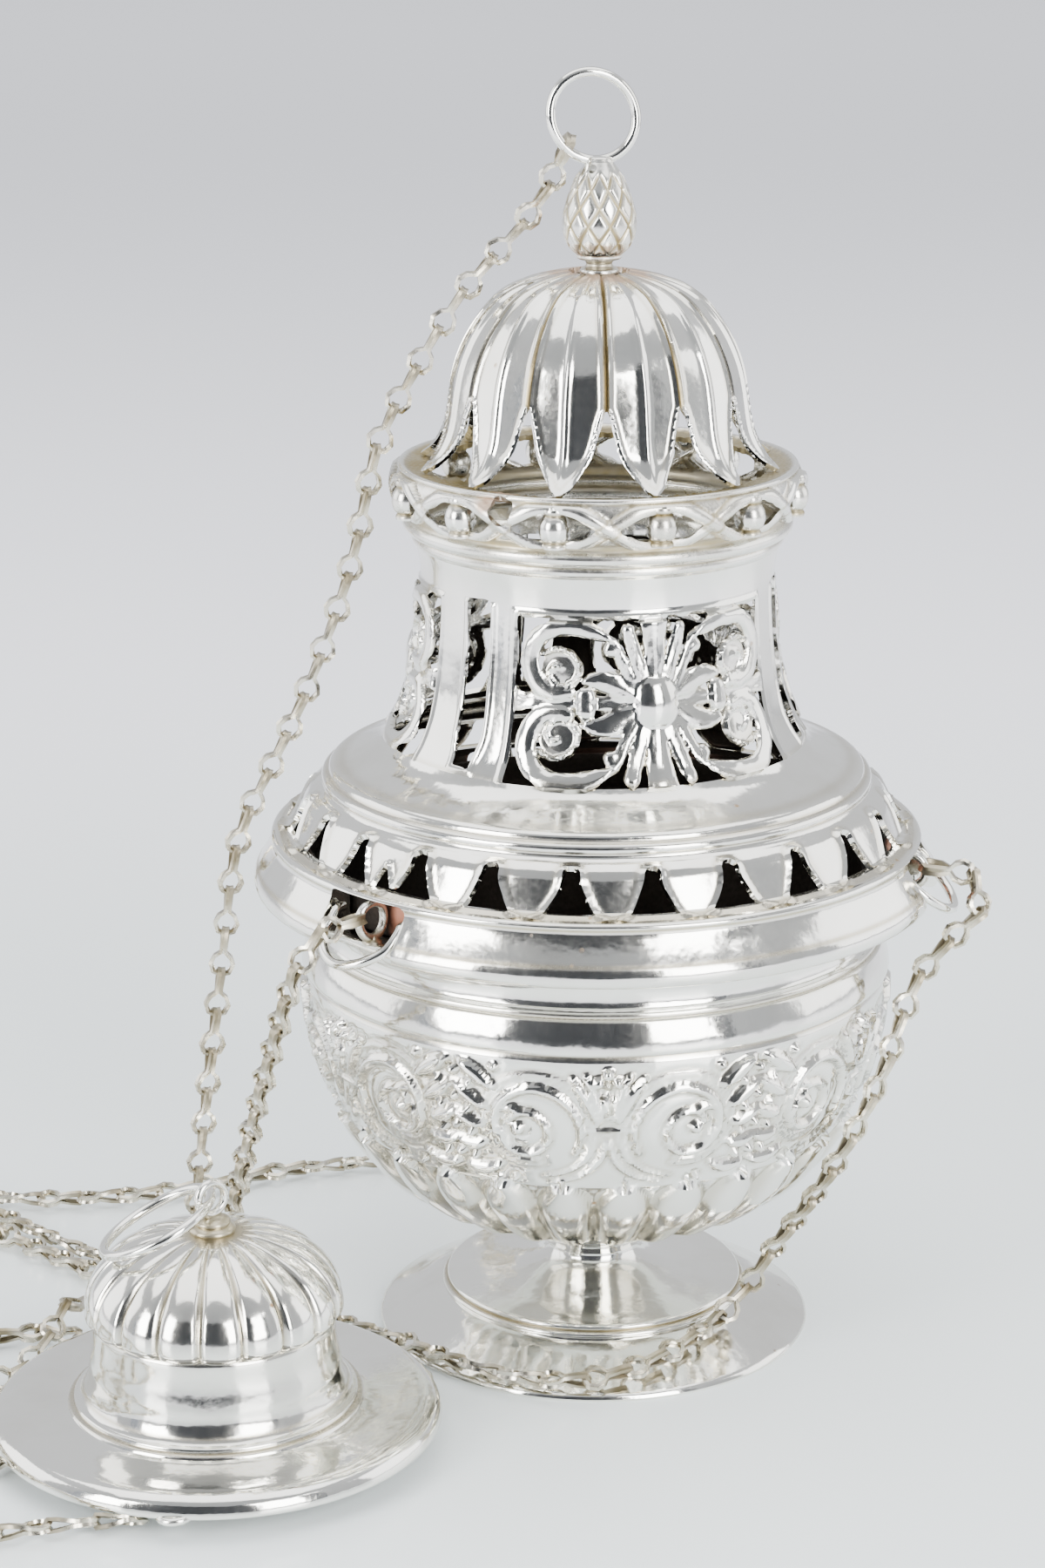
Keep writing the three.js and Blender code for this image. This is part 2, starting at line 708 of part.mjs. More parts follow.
// Chains: each is a tube of the links' outer diameter along its route. Points are chosen by eye
// from where a chain leaves its ring to where it lies.
const CHAIN_ROUTES = {
  lid_chain: [
    [-7.5, 0.3, 249], [-10.2, 0.5, 242], [-15.6, 0.7, 234.2], [-27, 1.2, 221.4], [-37.6, 1.7, 204],
    [-44.6, 2, 190.4], [-47.6, 2.1, 178], [-50.4, 2.3, 165], [-59.4, 2.8, 139.6], [-68.8, 3.2, 119.4],
    [-74.6, 3.4, 107.4], [-77, 3.5, 96], [-78.8, 3.6, 81], [-82.6, 3.8, 53], [-85.4, 4, 30],
    [-87.4, 4.8, 13], [-91.4, 7.6, 5.2], [-99, 13.4, 3], [-112, 21.6, 2.8], [-125, 33, 2.8],
    [-138, 44.6, 2.8], [-153, 51, 2.8], [-174, 51.5, 2.8], [-198, 42, 2.8], [-212, 18, 2.8],
    [-214.5, -14, 2.8], [-214, -48, 2.8], [-210, -80, 2.8], [-196, -100, 2.8], [-174, -106.5, 2.8],
    [-153, -103, 2.8], [-137, -94.5, 2.8], [-126, -87, 2.8], [-117, -82.4, 2.8], [-111.4, -75.4, 2.8],
    [-108.6, -68.6, 2.8],
  ],
  left_chain: [
    [-47, -52.2, 105.7], [-50.8, -56.4, 106.3], [-55.6, -60.8, 103.4], [-58.6, -61.2, 97],
    [-60.6, -57.5, 90], [-63.9, -50, 78], [-67.4, -42, 65], [-71, -33, 51], [-74.4, -24, 36],
    [-78, -14, 20], [-82.6, -5, 8.6], [-89.4, -1.6, 3.4], [-99, 4, 2.8], [-111, 12.4, 2.8],
    [-125, 24.4, 2.8], [-138, 35.4, 2.8], [-148, 38.8, 2.8], [-153.9, 35.9, 2.8],
  ],
  right_chain: [
    [68.62, -14.6, 105.6], [73.6, -15.7, 106.2], [79.4, -17.4, 102.8], [78.2, -19.4, 96.4],
    [70.8, -20.8, 90.4], [65, -21.4, 82], [60, -27.4, 68.4], [52.6, -31.9, 53.2], [45.2, -27.8, 38],
    [37.2, -20.6, 23], [32.2, -20, 13.8], [26.8, -25.4, 10.2], [20, -33.6, 8.6], [10.8, -42, 6.8],
    [-2, -46.4, 5.2], [-15.6, -44.4, 5], [-27, -38, 4.9], [-37.4, -29.4, 4.6], [-47, -19, 3.2],
    [-58, -12.6, 2.8], [-70, -9.8, 2.8], [-83, -10.4, 2.8], [-96, -11, 3.2], [-106, -14.6, 7.2],
    [-111, -22, 10.2], [-113.4, -30.2, 7.1], [-117, -37, 3.4], [-121.6, -43.6, 2.8], [-131, -46.6, 2.8],
    [-142, -43, 2.8], [-149.4, -41.9, 2.8], [-155.4, -45.6, 2.8],
  ],
  back_chain: [
    [-21.68, 66.72, 105.6], [-23.2, 71.4, 106.1], [-24.8, 77.2, 103], [-25.6, 79.6, 97], [-26.4, 80.6, 86],
    [-27.4, 81.6, 64], [-28.6, 82.6, 42], [-30.2, 83.4, 22], [-34, 83.2, 8], [-42, 80.6, 3.2],
    [-54, 77, 2.8], [-74, 71, 2.8], [-86, 64, 2.8], [-99, 57.6, 2.8], [-114, 54, 2.8],
    [-128, 52.6, 2.8], [-140, 54, 2.8], [-152, 63, 2.8], [-164, 77, 2.8], [-180, 83, 2.8],
    [-198, 80, 2.8], [-208, 69, 2.8], [-211, 55, 2.8], [-217, 40, 2.8], [-222, 20, 2.8],
    [-223.5, -14, 2.8], [-223, -50, 2.8], [-219, -84, 2.8], [-203, -107.4, 2.8],
    [-178, -116, 2.8], [-155, -115, 2.8], [-135, -112.6, 2.8], [-112.6, -110, 2.8],
    [-100, -106, 2.8], [-92, -104.6, 2.8], [-84.6, -103.4, 2.8],
  ],
};
const CHAIN_RETURNS = {
  left_chain_end: [
    [-154.2, -11.6, 2.8], [-148.6, -18.8, 2.8], [-138, -23.4, 2.8], [-126, -22.6, 2.8], [-118.7, -20, 2.8],
    [-111, -21.6, 2.8], [-103, -28, 2.8], [-95, -35, 2.8], [-82, -42, 2.8], [-66, -46, 2.8],
    [-52, -47, 2.8], [-41.6, -45.8, 2.8],
  ],
  right_chain_end: [
    [-148.2, -80.2, 2.8], [-142.4, -82.4, 2.8], [-137, -78.6, 2.8], [-134.6, -71, 2.8], [-131, -61.4, 2.8],
    [-124.8, -55, 2.8], [-117.6, -51.4, 2.8], [-113, -44.2, 2.8],
  ],
};
const CHAIN_COILS = {
  left_chain_coil: [-174, 12, coilRadius],
  right_chain_coil: [-174, -68, coilRadius * 0.9],
};

function chainCoil(radius) {
  const half = chainDiameter / 2;
  const tall = chainDiameter * coilLayers;
  return turnedSolid([
    [radius - half * 0.5, 0.1], [radius + half * 0.5, 0.1], [radius + half, half],
    [radius + half, tall - half], [radius + half * 0.5, tall],
    [radius - half * 0.5, tall], [radius - half, tall - half], [radius - half, half],
  ], SMALL_FACETS);
}

// Assembly
place('foot_base', footBase(), silver);
place('foot_plate', footPlate(), silver);
place('foot_spool', footSpool(), silver);
place('bowl', bowlShell(), silver);
place('fire_pan', firePan(), copper);

place('lid_flange', lidFlange(), silver);
place('lid_shoulder', lidShoulder(), silver);
place('lid_drum', lidDrum(), silver);
place('lid_gallery', lidGallery(), silver);
place('leaf_dome', leafDome(), silver);
place('finial_collar', finialCollar(), agedSilver);
place('finial', finialCone(), agedSilver);
const uprightRing = ring(finialRingRadius, finialRingWire, RING_FACETS).rotateX(Math.PI / 2);
const finialRing = place('finial_ring', uprightRing, silver);
finialRing.position.z = finialTop + SEAT + finialRingRadius + finialRingWire / 2;

LUG_AZIMUTHS.forEach((azimuth, i) => {
  const arm = armAt(azimuth);
  const eye = place(`bowl_eyelet_${i + 1}`, eyelet(), silver, arm);
  eye.position.set(0, -eyeletReach, eyeletHeight);
  place(`guide_loop_${i + 1}`, guideLoop(), silver, arm);
});

const cap = new THREE.Group();
cap.position.set(capX, capY, 0);
thurible.add(cap);
place('cap_flare', capFlare(), silver, cap);
place('cap_band', capBand(), silver, cap);
place('cap_dome', capDome(), silver, cap);
place('cap_collar', capCollar(), agedSilver, cap);
const staple = place('cap_staple', ring(stapleRadius, stapleWire, SMALL_RING_FACETS), silver, cap);
staple.rotation.set(Math.PI / 2, 0, 0);
staple.rotation.order = 'ZXY';
staple.rotation.z = radians(45);
staple.position.z = stapleHeight;

CAP_LUGS.forEach(([azimuth, reach], i) => {
  const lugArm = new THREE.Group();
  lugArm.rotation.z = radians(azimuth);
  cap.add(lugArm);
  const lug = place(`cap_lug_${i + 1}`, ring(lugRadius, lugWire, SMALL_RING_FACETS), silver, lugArm);
  lug.position.set(0, -reach, capLift - SEAT - lugWire / 2);
});

const handPivot = new THREE.Group();
handPivot.position.z = stapleHeight;
handPivot.rotation.y = radians(-handRingDip);
cap.add(handPivot);
const handRing = place('hand_ring', ring(handRingRadius, handRingWire, RING_FACETS), silver, handPivot);
handRing.position.x = -handRingRadius;

for (const [name, route] of Object.entries({ ...CHAIN_ROUTES, ...CHAIN_RETURNS })) {
  place(name, tube(route, chainDiameter, chainDiameter * 2.6, 6), chainSilver);
}
for (const [name, [x, y, radius]] of Object.entries(CHAIN_COILS)) {
  place(name, chainCoil(radius), chainSilver).position.set(x, y, 0);
}

export default thurible;
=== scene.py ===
"""A silver thurible standing on a pale table, with its four chains laid round the hand cap."""

import math

import bmesh
import bpy
import numpy as np
from bpy.props import FloatProperty, FloatVectorProperty, IntProperty, PointerProperty
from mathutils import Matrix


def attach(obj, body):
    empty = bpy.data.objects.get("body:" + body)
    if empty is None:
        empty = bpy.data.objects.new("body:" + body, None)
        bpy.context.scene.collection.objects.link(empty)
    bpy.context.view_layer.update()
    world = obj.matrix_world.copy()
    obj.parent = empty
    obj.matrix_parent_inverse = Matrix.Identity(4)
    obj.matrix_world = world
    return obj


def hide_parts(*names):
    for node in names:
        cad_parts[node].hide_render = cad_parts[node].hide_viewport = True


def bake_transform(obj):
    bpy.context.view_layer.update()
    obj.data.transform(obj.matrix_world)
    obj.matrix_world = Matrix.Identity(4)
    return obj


bl_info = {
    "name": "Silver Thurible",
    "version": (1, 0, 0),
    "blender": (4, 5, 0),
    "location": "View3D > Sidebar > Thurible",
    "description": "Builds a pierced and chased silver thurible with its chains and hand cap",
    "category": "Object",
}

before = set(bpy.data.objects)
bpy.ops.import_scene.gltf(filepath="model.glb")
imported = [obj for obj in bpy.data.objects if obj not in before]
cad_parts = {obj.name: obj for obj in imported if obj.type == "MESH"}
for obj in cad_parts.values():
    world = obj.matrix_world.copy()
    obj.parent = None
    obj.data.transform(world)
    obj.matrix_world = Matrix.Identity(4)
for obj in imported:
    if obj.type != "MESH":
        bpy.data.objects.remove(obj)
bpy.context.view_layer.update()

MM = 0.001


def linear(hex_colour):
    """Linear RGBA of an sRGB colour written as six hex digits."""
    channels = [int(hex_colour[i:i + 2], 16) / 255 for i in (0, 2, 4)]
    return tuple(c / 12.92 if c <= 0.04045 else ((c + 0.055) / 1.055) ** 2.4 for c in channels) + (1.0,)


# Sizes and finishes that a maker would change

class ThuribleSizes(bpy.types.PropertyGroup):
    """Counts and sizes of the thurible"""
    gadroons: IntProperty(name="Gadroons", description="Lobes raised round the underside of the bowl",
                          default=27, min=8)
    scrolls: IntProperty(name="Scroll pairs", description="Pairs of C-scrolls chased round the belly",
                         default=6, min=3)
    tongues: IntProperty(name="Tongues", description="Keyhole openings round the lid's shoulder",
                         default=24, min=8)
    cells: IntProperty(name="Gallery cells", description="Openings with a bead, round the gallery",
                       default=12, min=4)
    leaves: IntProperty(name="Leaves", description="Leaves that make up the top of the lid",
                        default=12, min=4)
    flutes: IntProperty(name="Flutes", description="Flutes round the hand cap", default=18, min=8)
    sheet: FloatProperty(name="Sheet", description="Thickness of the pierced silver sheet",
                         default=0.0011, min=0.0005, max=0.003, subtype="DISTANCE", unit="LENGTH")
    chasing: FloatProperty(name="Chasing", default=1.0, min=0.2, max=1.5, subtype="FACTOR",
                           description="Height of the raised work, as a share of the real one")
    link_pitch: FloatProperty(name="Link pitch", description="Length of chain that one link adds",
                              default=0.0092, min=0.005, max=0.02, subtype="DISTANCE", unit="LENGTH")
    chain_width: FloatProperty(name="Chain width", description="Outside width of a link's eye",
                               default=0.0056, min=0.003, max=0.01, subtype="DISTANCE", unit="LENGTH")
    link_wire: FloatProperty(name="Link wire", description="Thickness of the wire in a link",
                             default=0.00094, min=0.0004, max=0.002, subtype="DISTANCE", unit="LENGTH")


def colour_choice(label, text, hex_colour):
    return FloatVectorProperty(name=label, description=text, default=linear(hex_colour), size=4,
                               subtype="COLOR", min=0, max=1)


class ThuribleFinishes(bpy.types.PropertyGroup):
    """Colours of the metals and the table"""
    silver: colour_choice("Silver", "Clean polished silver", "ecebe5")
    tarnish: colour_choice("Tarnish", "Yellow-grey film left in the hollows", "988a64")
    spot: colour_choice("Spots", "Small brown spots", "9a7342")
    solder: colour_choice("Solder", "Pinkish grey of old solder", "b9a08c")
    # Grey of the lid's inside: smoke, with the shade inside the lid painted in
    smoke: colour_choice("Smoke", "Smoked silver inside the lid", "6a645b")
    # Near-black of the gallery's and the leaves' inside: soot, with the shade there painted in
    soot: colour_choice("Soot", "Blackened silver where the smoke comes out", "3a352e")
    chain: colour_choice("Chain", "Yellowed silver of the chains", "d8d2c2")
    copper: colour_choice("Copper", "Worn copper of the fire pan", "c98a72")
    table: colour_choice("Table", "Pale table near the thurible", "e5eced")
    far_table: colour_choice("Far table", "Pale ground behind the thurible", "f8f9ff")


def sizes():
    return bpy.context.scene.thurible_sizes


def finishes():
    return bpy.context.scene.thurible_finishes


# Materials

def add_node(tree, kind, values=None, links=None, **settings):
    """A node with its settings, the values of its sockets and the links into them."""
    node = tree.nodes.new(kind)
    for key, value in settings.items():
        setattr(node, key, value)
    for socket, value in (values or {}).items():
        node.inputs[socket].default_value = value
    for socket, source in (links or {}).items():
        tree.links.new(source, node.inputs[socket])
    return node


def new_material(name):
    material = bpy.data.materials.new(name)
    material.use_nodes = True
    tree = material.node_tree
    tree.nodes.clear()
    return material, tree


def close_material(material, tree, shader):
    add_node(tree, "ShaderNodeOutputMaterial", links={"Surface": shader.outputs[0]})
    return material


def film_and_stains(tree, place, fine, patches, clean, film, spot, spots, film_everywhere):
    """The metal's colour under its film, old solder and spots, with its shares of film and of brown."""
    hollow = add_node(tree, "ShaderNodeAttribute", attribute_name="hollow").outputs["Fac"]
    solder = add_node(tree, "ShaderNodeAttribute", attribute_name="solder").outputs["Fac"]
    patchy = add_node(tree, "ShaderNodeMapRange",
                      {"From Min": 0.42, "From Max": 0.72, "To Min": 0.0, "To Max": film_everywhere},
                      {"Value": patches}).outputs["Result"]
    film_share = add_node(tree, "ShaderNodeMath", operation="ADD", use_clamp=True,
                          links={0: hollow, 1: patchy}).outputs[0]
    filmed = add_node(tree, "ShaderNodeMixRGB", {"Color1": clean, "Color2": film},
                      {"Fac": film_share}).outputs[0]
    # Brown spots about a millimetre across, only where the patches allow them
    cells = add_node(tree, "ShaderNodeTexVoronoi", {"Scale": 190.0, "Randomness": 1.0}, {"Vector": place})
    near = add_node(tree, "ShaderNodeMapRange",
                    {"From Min": 0.07, "From Max": 0.13, "To Min": 1.0, "To Max": 0.0},
                    {"Value": cells.outputs["Distance"]}).outputs["Result"]
    allowed = add_node(tree, "ShaderNodeMapRange",
                       {"From Min": 0.60, "From Max": 0.66, "To Min": 0.0, "To Max": spots},
                       {"Value": patches}).outputs["Result"]
    spotted = add_node(tree, "ShaderNodeMath", operation="MULTIPLY", links={0: near, 1: allowed}).outputs[0]
    # Old solder has a ragged edge
    stain_edge = add_node(tree, "ShaderNodeMath", operation="MULTIPLY", links={0: solder, 1: fine}).outputs[0]
    stain = add_node(tree, "ShaderNodeMapRange",
                     {"From Min": 0.22, "From Max": 0.5, "To Min": 0.0, "To Max": 0.9},
                     {"Value": stain_edge}).outputs["Result"]
    brown = add_node(tree, "ShaderNodeMath", operation="MAXIMUM", links={0: spotted, 1: stain}).outputs[0]
    soldered = add_node(tree, "ShaderNodeMixRGB", {"Color2": finishes().solder},
                        {"Fac": stain, "Color1": filmed}).outputs[0]
    colour = add_node(tree, "ShaderNodeMixRGB", {"Color2": spot}, {"Fac": spotted, "Color1": soldered})
    return colour.outputs[0], film_share, brown


def metal_finish(name, clean, film, spot, rough, dents, spots, film_everywhere):
    """Hand-worked metal. rough is its lowest and highest roughness, dents the height of its unevenness in
    metres, spots how many brown spots it has, and film_everywhere how much film lies on the open surface."""
    material, tree = new_material(name)
    place = add_node(tree, "ShaderNodeTexCoord").outputs["Object"]
    # Planishing leaves shallow waves 12 to 15 mm across, and finer ones of 4 mm
    waves = add_node(tree, "ShaderNodeTexNoise", {"Scale": 75.0, "Detail": 1.5, "Roughness": 0.45},
                     {"Vector": place}).outputs["Fac"]
    fine = add_node(tree, "ShaderNodeTexNoise", {"Scale": 260.0, "Detail": 2.0, "Roughness": 0.5},
                    {"Vector": place}).outputs["Fac"]
    # Handling marks about 1 mm long, drawn coarser than real scratches so that they show
    marks = add_node(tree, "ShaderNodeTexNoise",
                     {"Scale": 1100.0, "Detail": 3.0, "Roughness": 0.6, "Distortion": 0.6},
                     {"Vector": place}).outputs["Fac"]
    # Film and spots come in patches 2 to 3 cm across
    patches = add_node(tree, "ShaderNodeTexNoise", {"Scale": 38.0, "Detail": 4.0, "Roughness": 0.62},
                       {"Vector": place}).outputs["Fac"]
    colour, film_share, brown = film_and_stains(tree, place, fine, patches, clean, film, spot, spots,
                                                film_everywhere)
    gloss = add_node(tree, "ShaderNodeMapRange",
                     {"From Min": 0.3, "From Max": 0.7, "To Min": rough[0], "To Max": rough[1]},
                     {"Value": marks}).outputs["Result"]
    dull = add_node(tree, "ShaderNodeMath", {1: 0.28}, operation="MULTIPLY", links={0: film_share})
    dull_spots = add_node(tree, "ShaderNodeMath", {1: 0.3}, operation="MULTIPLY", links={0: brown})
    softer = add_node(tree, "ShaderNodeMath", operation="ADD", links={0: gloss, 1: dull.outputs[0]})
    roughness = add_node(tree, "ShaderNodeMath", operation="ADD", use_clamp=True,
                         links={0: softer.outputs[0], 1: dull_spots.outputs[0]})
    broad = add_node(tree, "ShaderNodeBump", {"Strength": 1.0, "Distance": dents}, {"Height": waves})
    small = add_node(tree, "ShaderNodeBump", {"Strength": 1.0, "Distance": dents * 0.16},
                     {"Height": fine, "Normal": broad.outputs[0]})
    grain = add_node(tree, "ShaderNodeBump", {"Strength": 1.0, "Distance": dents * 0.012},
                     {"Height": marks, "Normal": small.outputs[0]})
    shader = add_node(tree, "ShaderNodeBsdfPrincipled", {"Metallic": 1.0},
                      {"Base Color": colour, "Roughness": roughness.outputs[0], "Normal": grain.outputs[0]})
    return close_material(material, tree, shader)


def polished_silver():
    """Sterling silver sheet, raised by hammer and polished: a bright mirror with faint waves and a few
    brown spots."""
    f = finishes()
    return metal_finish("polished_silver_sheet", f.silver, f.tarnish, f.spot, rough=(0.07, 0.13),
                        dents=0.00045, spots=0.85, film_everywhere=0.16)


def cast_silver():
    """Cast silver, cleaned up less: softer gloss, more grey film in its corners."""
    f = finishes()
    return metal_finish("cast_silver", f.silver, f.tarnish, f.spot, rough=(0.12, 0.24), dents=0.0004,
                        spots=0.7, film_everywhere=0.46)


def smoked_silver_with_painted_shade():
    """The inside of the lid: silver dulled by smoke, with the shade inside the lid painted into its grey,
    nearly matt colour, so that the openings read as dark.
    """
    f = finishes()
    # Its grey and its darker film are smoke, with painted shade added
    return metal_finish("smoked_silver_with_painted_shade", f.smoke, linear("423d36"), f.spot, rough=(0.4, 0.6), dents=0.0003,
                        spots=0.2, film_everywhere=0.8)


def sooted_silver_with_painted_shade():
    """The inside of the gallery and the leaves, where the smoke comes out: blackened by soot, with the shade
    inside the lid painted in, and matt.
    """
    f = finishes()
    # Its near-black and its film are soot, with painted shade added
    return metal_finish("sooted_silver_with_painted_shade", f.soot, linear("241f1a"), f.spot, rough=(0.45, 0.65), dents=0.0003,
                        spots=0.1, film_everywhere=0.8)


def chain_silver():
    """Drawn silver wire, yellowed by age and handling: warm grey with darker joints."""
    f = finishes()
    return metal_finish("yellowed_silver_wire", f.chain, linear("857a60"), linear("7c6238"),
                        rough=(0.15, 0.26), dents=0.00022, spots=0.6, film_everywhere=0.5)


def worn_copper():
    """Spun copper, pink-brown and dull outside, black with soot wherever the charcoal has been."""
    f = finishes()
    return metal_finish("worn_copper", f.copper, linear("38332f"), linear("3d2a22"), rough=(0.28, 0.5),
                        dents=0.0003, spots=0.7, film_everywhere=0.25)


def finish(make):
    """The material of a finish, made once."""
    found = finish.made.get(make.__name__)
    if found is None:
        found = finish.made[make.__name__] = make()
    return found


finish.made = {}


# Smooth lines and profiles, all in millimetres

def smooth_line(points, step):
    """Points about a step apart on a smooth line through the given ones."""
    p = np.asarray(points, float)
    gaps = np.linalg.norm(np.diff(p, axis=0), axis=1)
    t = np.concatenate([[0], np.cumsum(np.sqrt(gaps))])
    slope = np.gradient(p, t, axis=0)
    rows = []
    for i, gap in enumerate(gaps):
        count = max(1, math.ceil(gap / step - 1e-9))
        u = (np.arange(count) / count)[:, None]
        h = t[i + 1] - t[i]
        rows.append((2 * u ** 3 - 3 * u ** 2 + 1) * p[i] + (u ** 3 - 2 * u ** 2 + u) * h * slope[i]
                    + (3 * u ** 2 - 2 * u ** 3) * p[i + 1] + (u ** 3 - u ** 2) * h * slope[i + 1])
    rows.append(p[-1:])
    return np.concatenate(rows)


def distances(line):
    """How far along a line each of its points is."""
    return np.concatenate([[0], np.cumsum(np.linalg.norm(np.diff(line, axis=0), axis=1))])


def even_line(points, step):
    """Points exactly evenly spaced, about a step apart, on a smooth line."""
    dense = smooth_line(points, 0.5)
    along = distances(dense)
    at = np.linspace(0, along[-1], max(2, round(along[-1] / step) + 1))
    return np.stack([np.interp(at, along, dense[:, k]) for k in range(3)], axis=1)


def profile(runs, step):
    """A turned piece's section from runs of (radius, height), smooth inside a run and sharp between runs.
    A run may end with a number: its own step."""
    line = []
    for run in runs:
        own = step
        if not hasattr(run[-1], "__len__"):
            own, run = run[-1], run[:-1]
        part = smooth_line(run, own)
        line.append(part if not line else part[1:])
    return np.concatenate(line)


def around(azimuth, radius, height):
    """Points at azimuths in degrees, measured from the front towards +X, as an array of x, y, z."""
    a = np.radians(azimuth)
    return np.stack([radius * np.sin(a), -radius * np.cos(a), height + 0 * a], axis=-1)


def directions(azimuth):
    """The directions outwards and sideways at an azimuth in degrees."""
    a = math.radians(azimuth)
    return np.array([math.sin(a), -math.cos(a), 0]), np.array([math.cos(a), math.sin(a), 0])


def off_nearest(azimuth, first, pitch=360):
    """Degrees from the nearest of the places that repeat every pitch, counted from a first azimuth."""
    return (azimuth - first + pitch / 2) % pitch - pitch / 2


def bell(x, width):
    """A smooth bump, 1 at x = 0."""
    return np.exp(-(x / width) ** 2)


def ease(x, low, high):
    """0 below low, 1 above high, and a smooth rise between them."""
    t = np.clip((x - low) / (high - low), 0, 1)
    return t * t * (3 - 2 * t)


def half_round(x):
    """The height of a half-round of height 1, at x half widths from its middle."""
    return np.sqrt(np.clip(1 - x ** 2, 0, 1))


def nearest_stroke(u, v, strokes):
    """For points (u, v), how deep inside the nearest stroke each one is, and the height of the crown there.
    A stroke is a list of (u, v, half width) and the height of its crown."""
    inside = np.full(u.shape, -1e3)
    crown = np.zeros(u.shape)
    for points, height in strokes:
        if len(points) == 1:
            points = [points[0], (points[0][0] + 1e-4, points[0][1], points[0][2])]
        fine = smooth_line(points, 1.1) if len(points) > 2 else np.asarray(points, float)
        for (u0, v0, w0), (u1, v1, w1) in zip(fine[:-1], fine[1:]):
            du, dv = u1 - u0, v1 - v0
            t = np.clip(((u - u0) * du + (v - v0) * dv) / max(du * du + dv * dv, 1e-12), 0, 1)
            width = np.maximum(w0 + t * (w1 - w0), 0.05)
            apart = np.hypot(u - u0 - t * du, v - v0 - t * dv)
            inside = np.maximum(inside, width - apart)
            crown = np.maximum(crown, height * half_round(apart / width) * np.minimum(1, width / 0.8))
    return inside, crown


# Modelling helpers

def select_only(*objects):
    if bpy.context.object and bpy.context.object.mode != "OBJECT":
        bpy.ops.object.mode_set(mode="OBJECT")
    bpy.ops.object.select_all(action="DESELECT")
    for o in objects:
        o.select_set(True)
    if objects:
        bpy.context.view_layer.objects.active = objects[0]


def corners(piece):
    co = np.empty(len(piece.data.vertices) * 3)
    piece.data.vertices.foreach_get("co", co)
    return co.reshape(-1, 3)


def set_corners(piece, co):
    piece.data.vertices.foreach_set("co", np.asarray(co, np.float32).ravel())
    piece.data.update()


def tint(piece, name, share):
    """Keeps a share, 0 to 1, at each corner, under a name that the metals read."""
    attribute = piece.data.attributes.get(name) or piece.data.attributes.new(name, "FLOAT", "POINT")
    attribute.data.foreach_set("value", np.asarray(share, np.float32))


def edit_all(piece, *steps):
    """Runs edit-mode operators on the whole of a piece."""
    select_only(piece)
    bpy.ops.object.mode_set(mode="EDIT")
    bpy.ops.mesh.select_all(action="SELECT")
    for step in steps:
        step()
    bpy.ops.object.mode_set(mode="OBJECT")


def weld():
    """Merges corners that lie on each other."""
    return bpy.ops.mesh.remove_doubles(threshold=2e-6)


def outwards():
    return bpy.ops.mesh.normals_make_consistent(inside=False)


def apply_modifier(piece, kind, **settings):
    select_only(piece)
    modifier = piece.modifiers.new(kind.title(), kind)
    for key, value in settings.items():
        setattr(modifier, key, value)
    bpy.ops.object.modifier_apply(modifier=modifier.name)


def smooth(piece, angle=38):
    select_only(piece)
    bpy.ops.object.shade_smooth_by_angle(angle=math.radians(angle))


def joined(name, pieces):
    select_only(*pieces)
    if len(pieces) > 1:
        bpy.ops.object.join()
    whole = bpy.context.view_layer.objects.active
    whole.name = whole.data.name = name
    return whole


def hand_over(piece, body, materials, replaces=(), angle=38):
    """Gives a finished piece its materials and body, and hides the nodes it stands for."""
    piece.data.materials.clear()
    for material in materials:
        piece.data.materials.append(material)
    smooth(piece, angle)
    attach(piece, body)
    if replaces:
        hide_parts(*replaces)


def wrapped_grid(name, columns, rows):
    """A flat grid that a section is wrapped with, and each corner's place in columns and rows, 0 to 1."""
    select_only()
    bpy.ops.mesh.primitive_grid_add(x_subdivisions=columns, y_subdivisions=rows, size=1)
    piece = bpy.context.object
    piece.name = piece.data.name = name
    co = corners(piece)
    return piece, co[:, 0] + 0.5, co[:, 1] + 0.5


def section_normals(line):
    """The way that a section looks at each of its points, as radius and height."""
    slope = np.gradient(line, axis=0)
    slope /= np.maximum(np.linalg.norm(slope, axis=1), 1e-9)[:, None]
    return np.stack([slope[:, 1], -slope[:, 0]], axis=1)


def turned(name, runs, columns, step, relief=None, centre=(0, 0)):
    """A closed piece turned on the lathe. relief gives the height of raised work in mm and the share of film
    in its hollows, for an azimuth, radius and height and for how far outwards the surface looks there."""
    line = profile(runs, step)
    piece, u, v = wrapped_grid(name, columns, len(line) - 1)
    at = v * (len(line) - 1)
    index = np.arange(len(line))
    radius, height = (np.interp(at, index, line[:, k]) for k in (0, 1))
    azimuth = 360 * u
    if relief is not None:
        normals = section_normals(line)
        out, up = (np.interp(at, index, normals[:, k]) for k in (0, 1))
        raised, hollow = relief(azimuth, radius, height, out)
        radius, height = radius + raised * out, height + raised * up
        tint(piece, "hollow", hollow)
    co = around(azimuth, np.maximum(radius, 0), height)
    co[:, 0] += centre[0]
    co[:, 1] += centre[1]
    set_corners(piece, co * MM)
    edit_all(piece, weld)
    return piece


def cut_corners(u, row, kept, removed):
    """The corners that kept and removed faces share, seen as one where the two ends of the grid meet."""
    seam = (u < 1e-4) | (u > 1 - 1e-4)
    beside = []
    for faces in (kept, removed):
        touched = np.zeros(len(u), bool)
        touched[faces] = True
        shared = np.zeros(row.max() + 1, bool)
        shared[row[touched & seam]] = True
        beside.append(touched | (seam & shared[row]))
    return np.flatnonzero(beside[0] & beside[1])


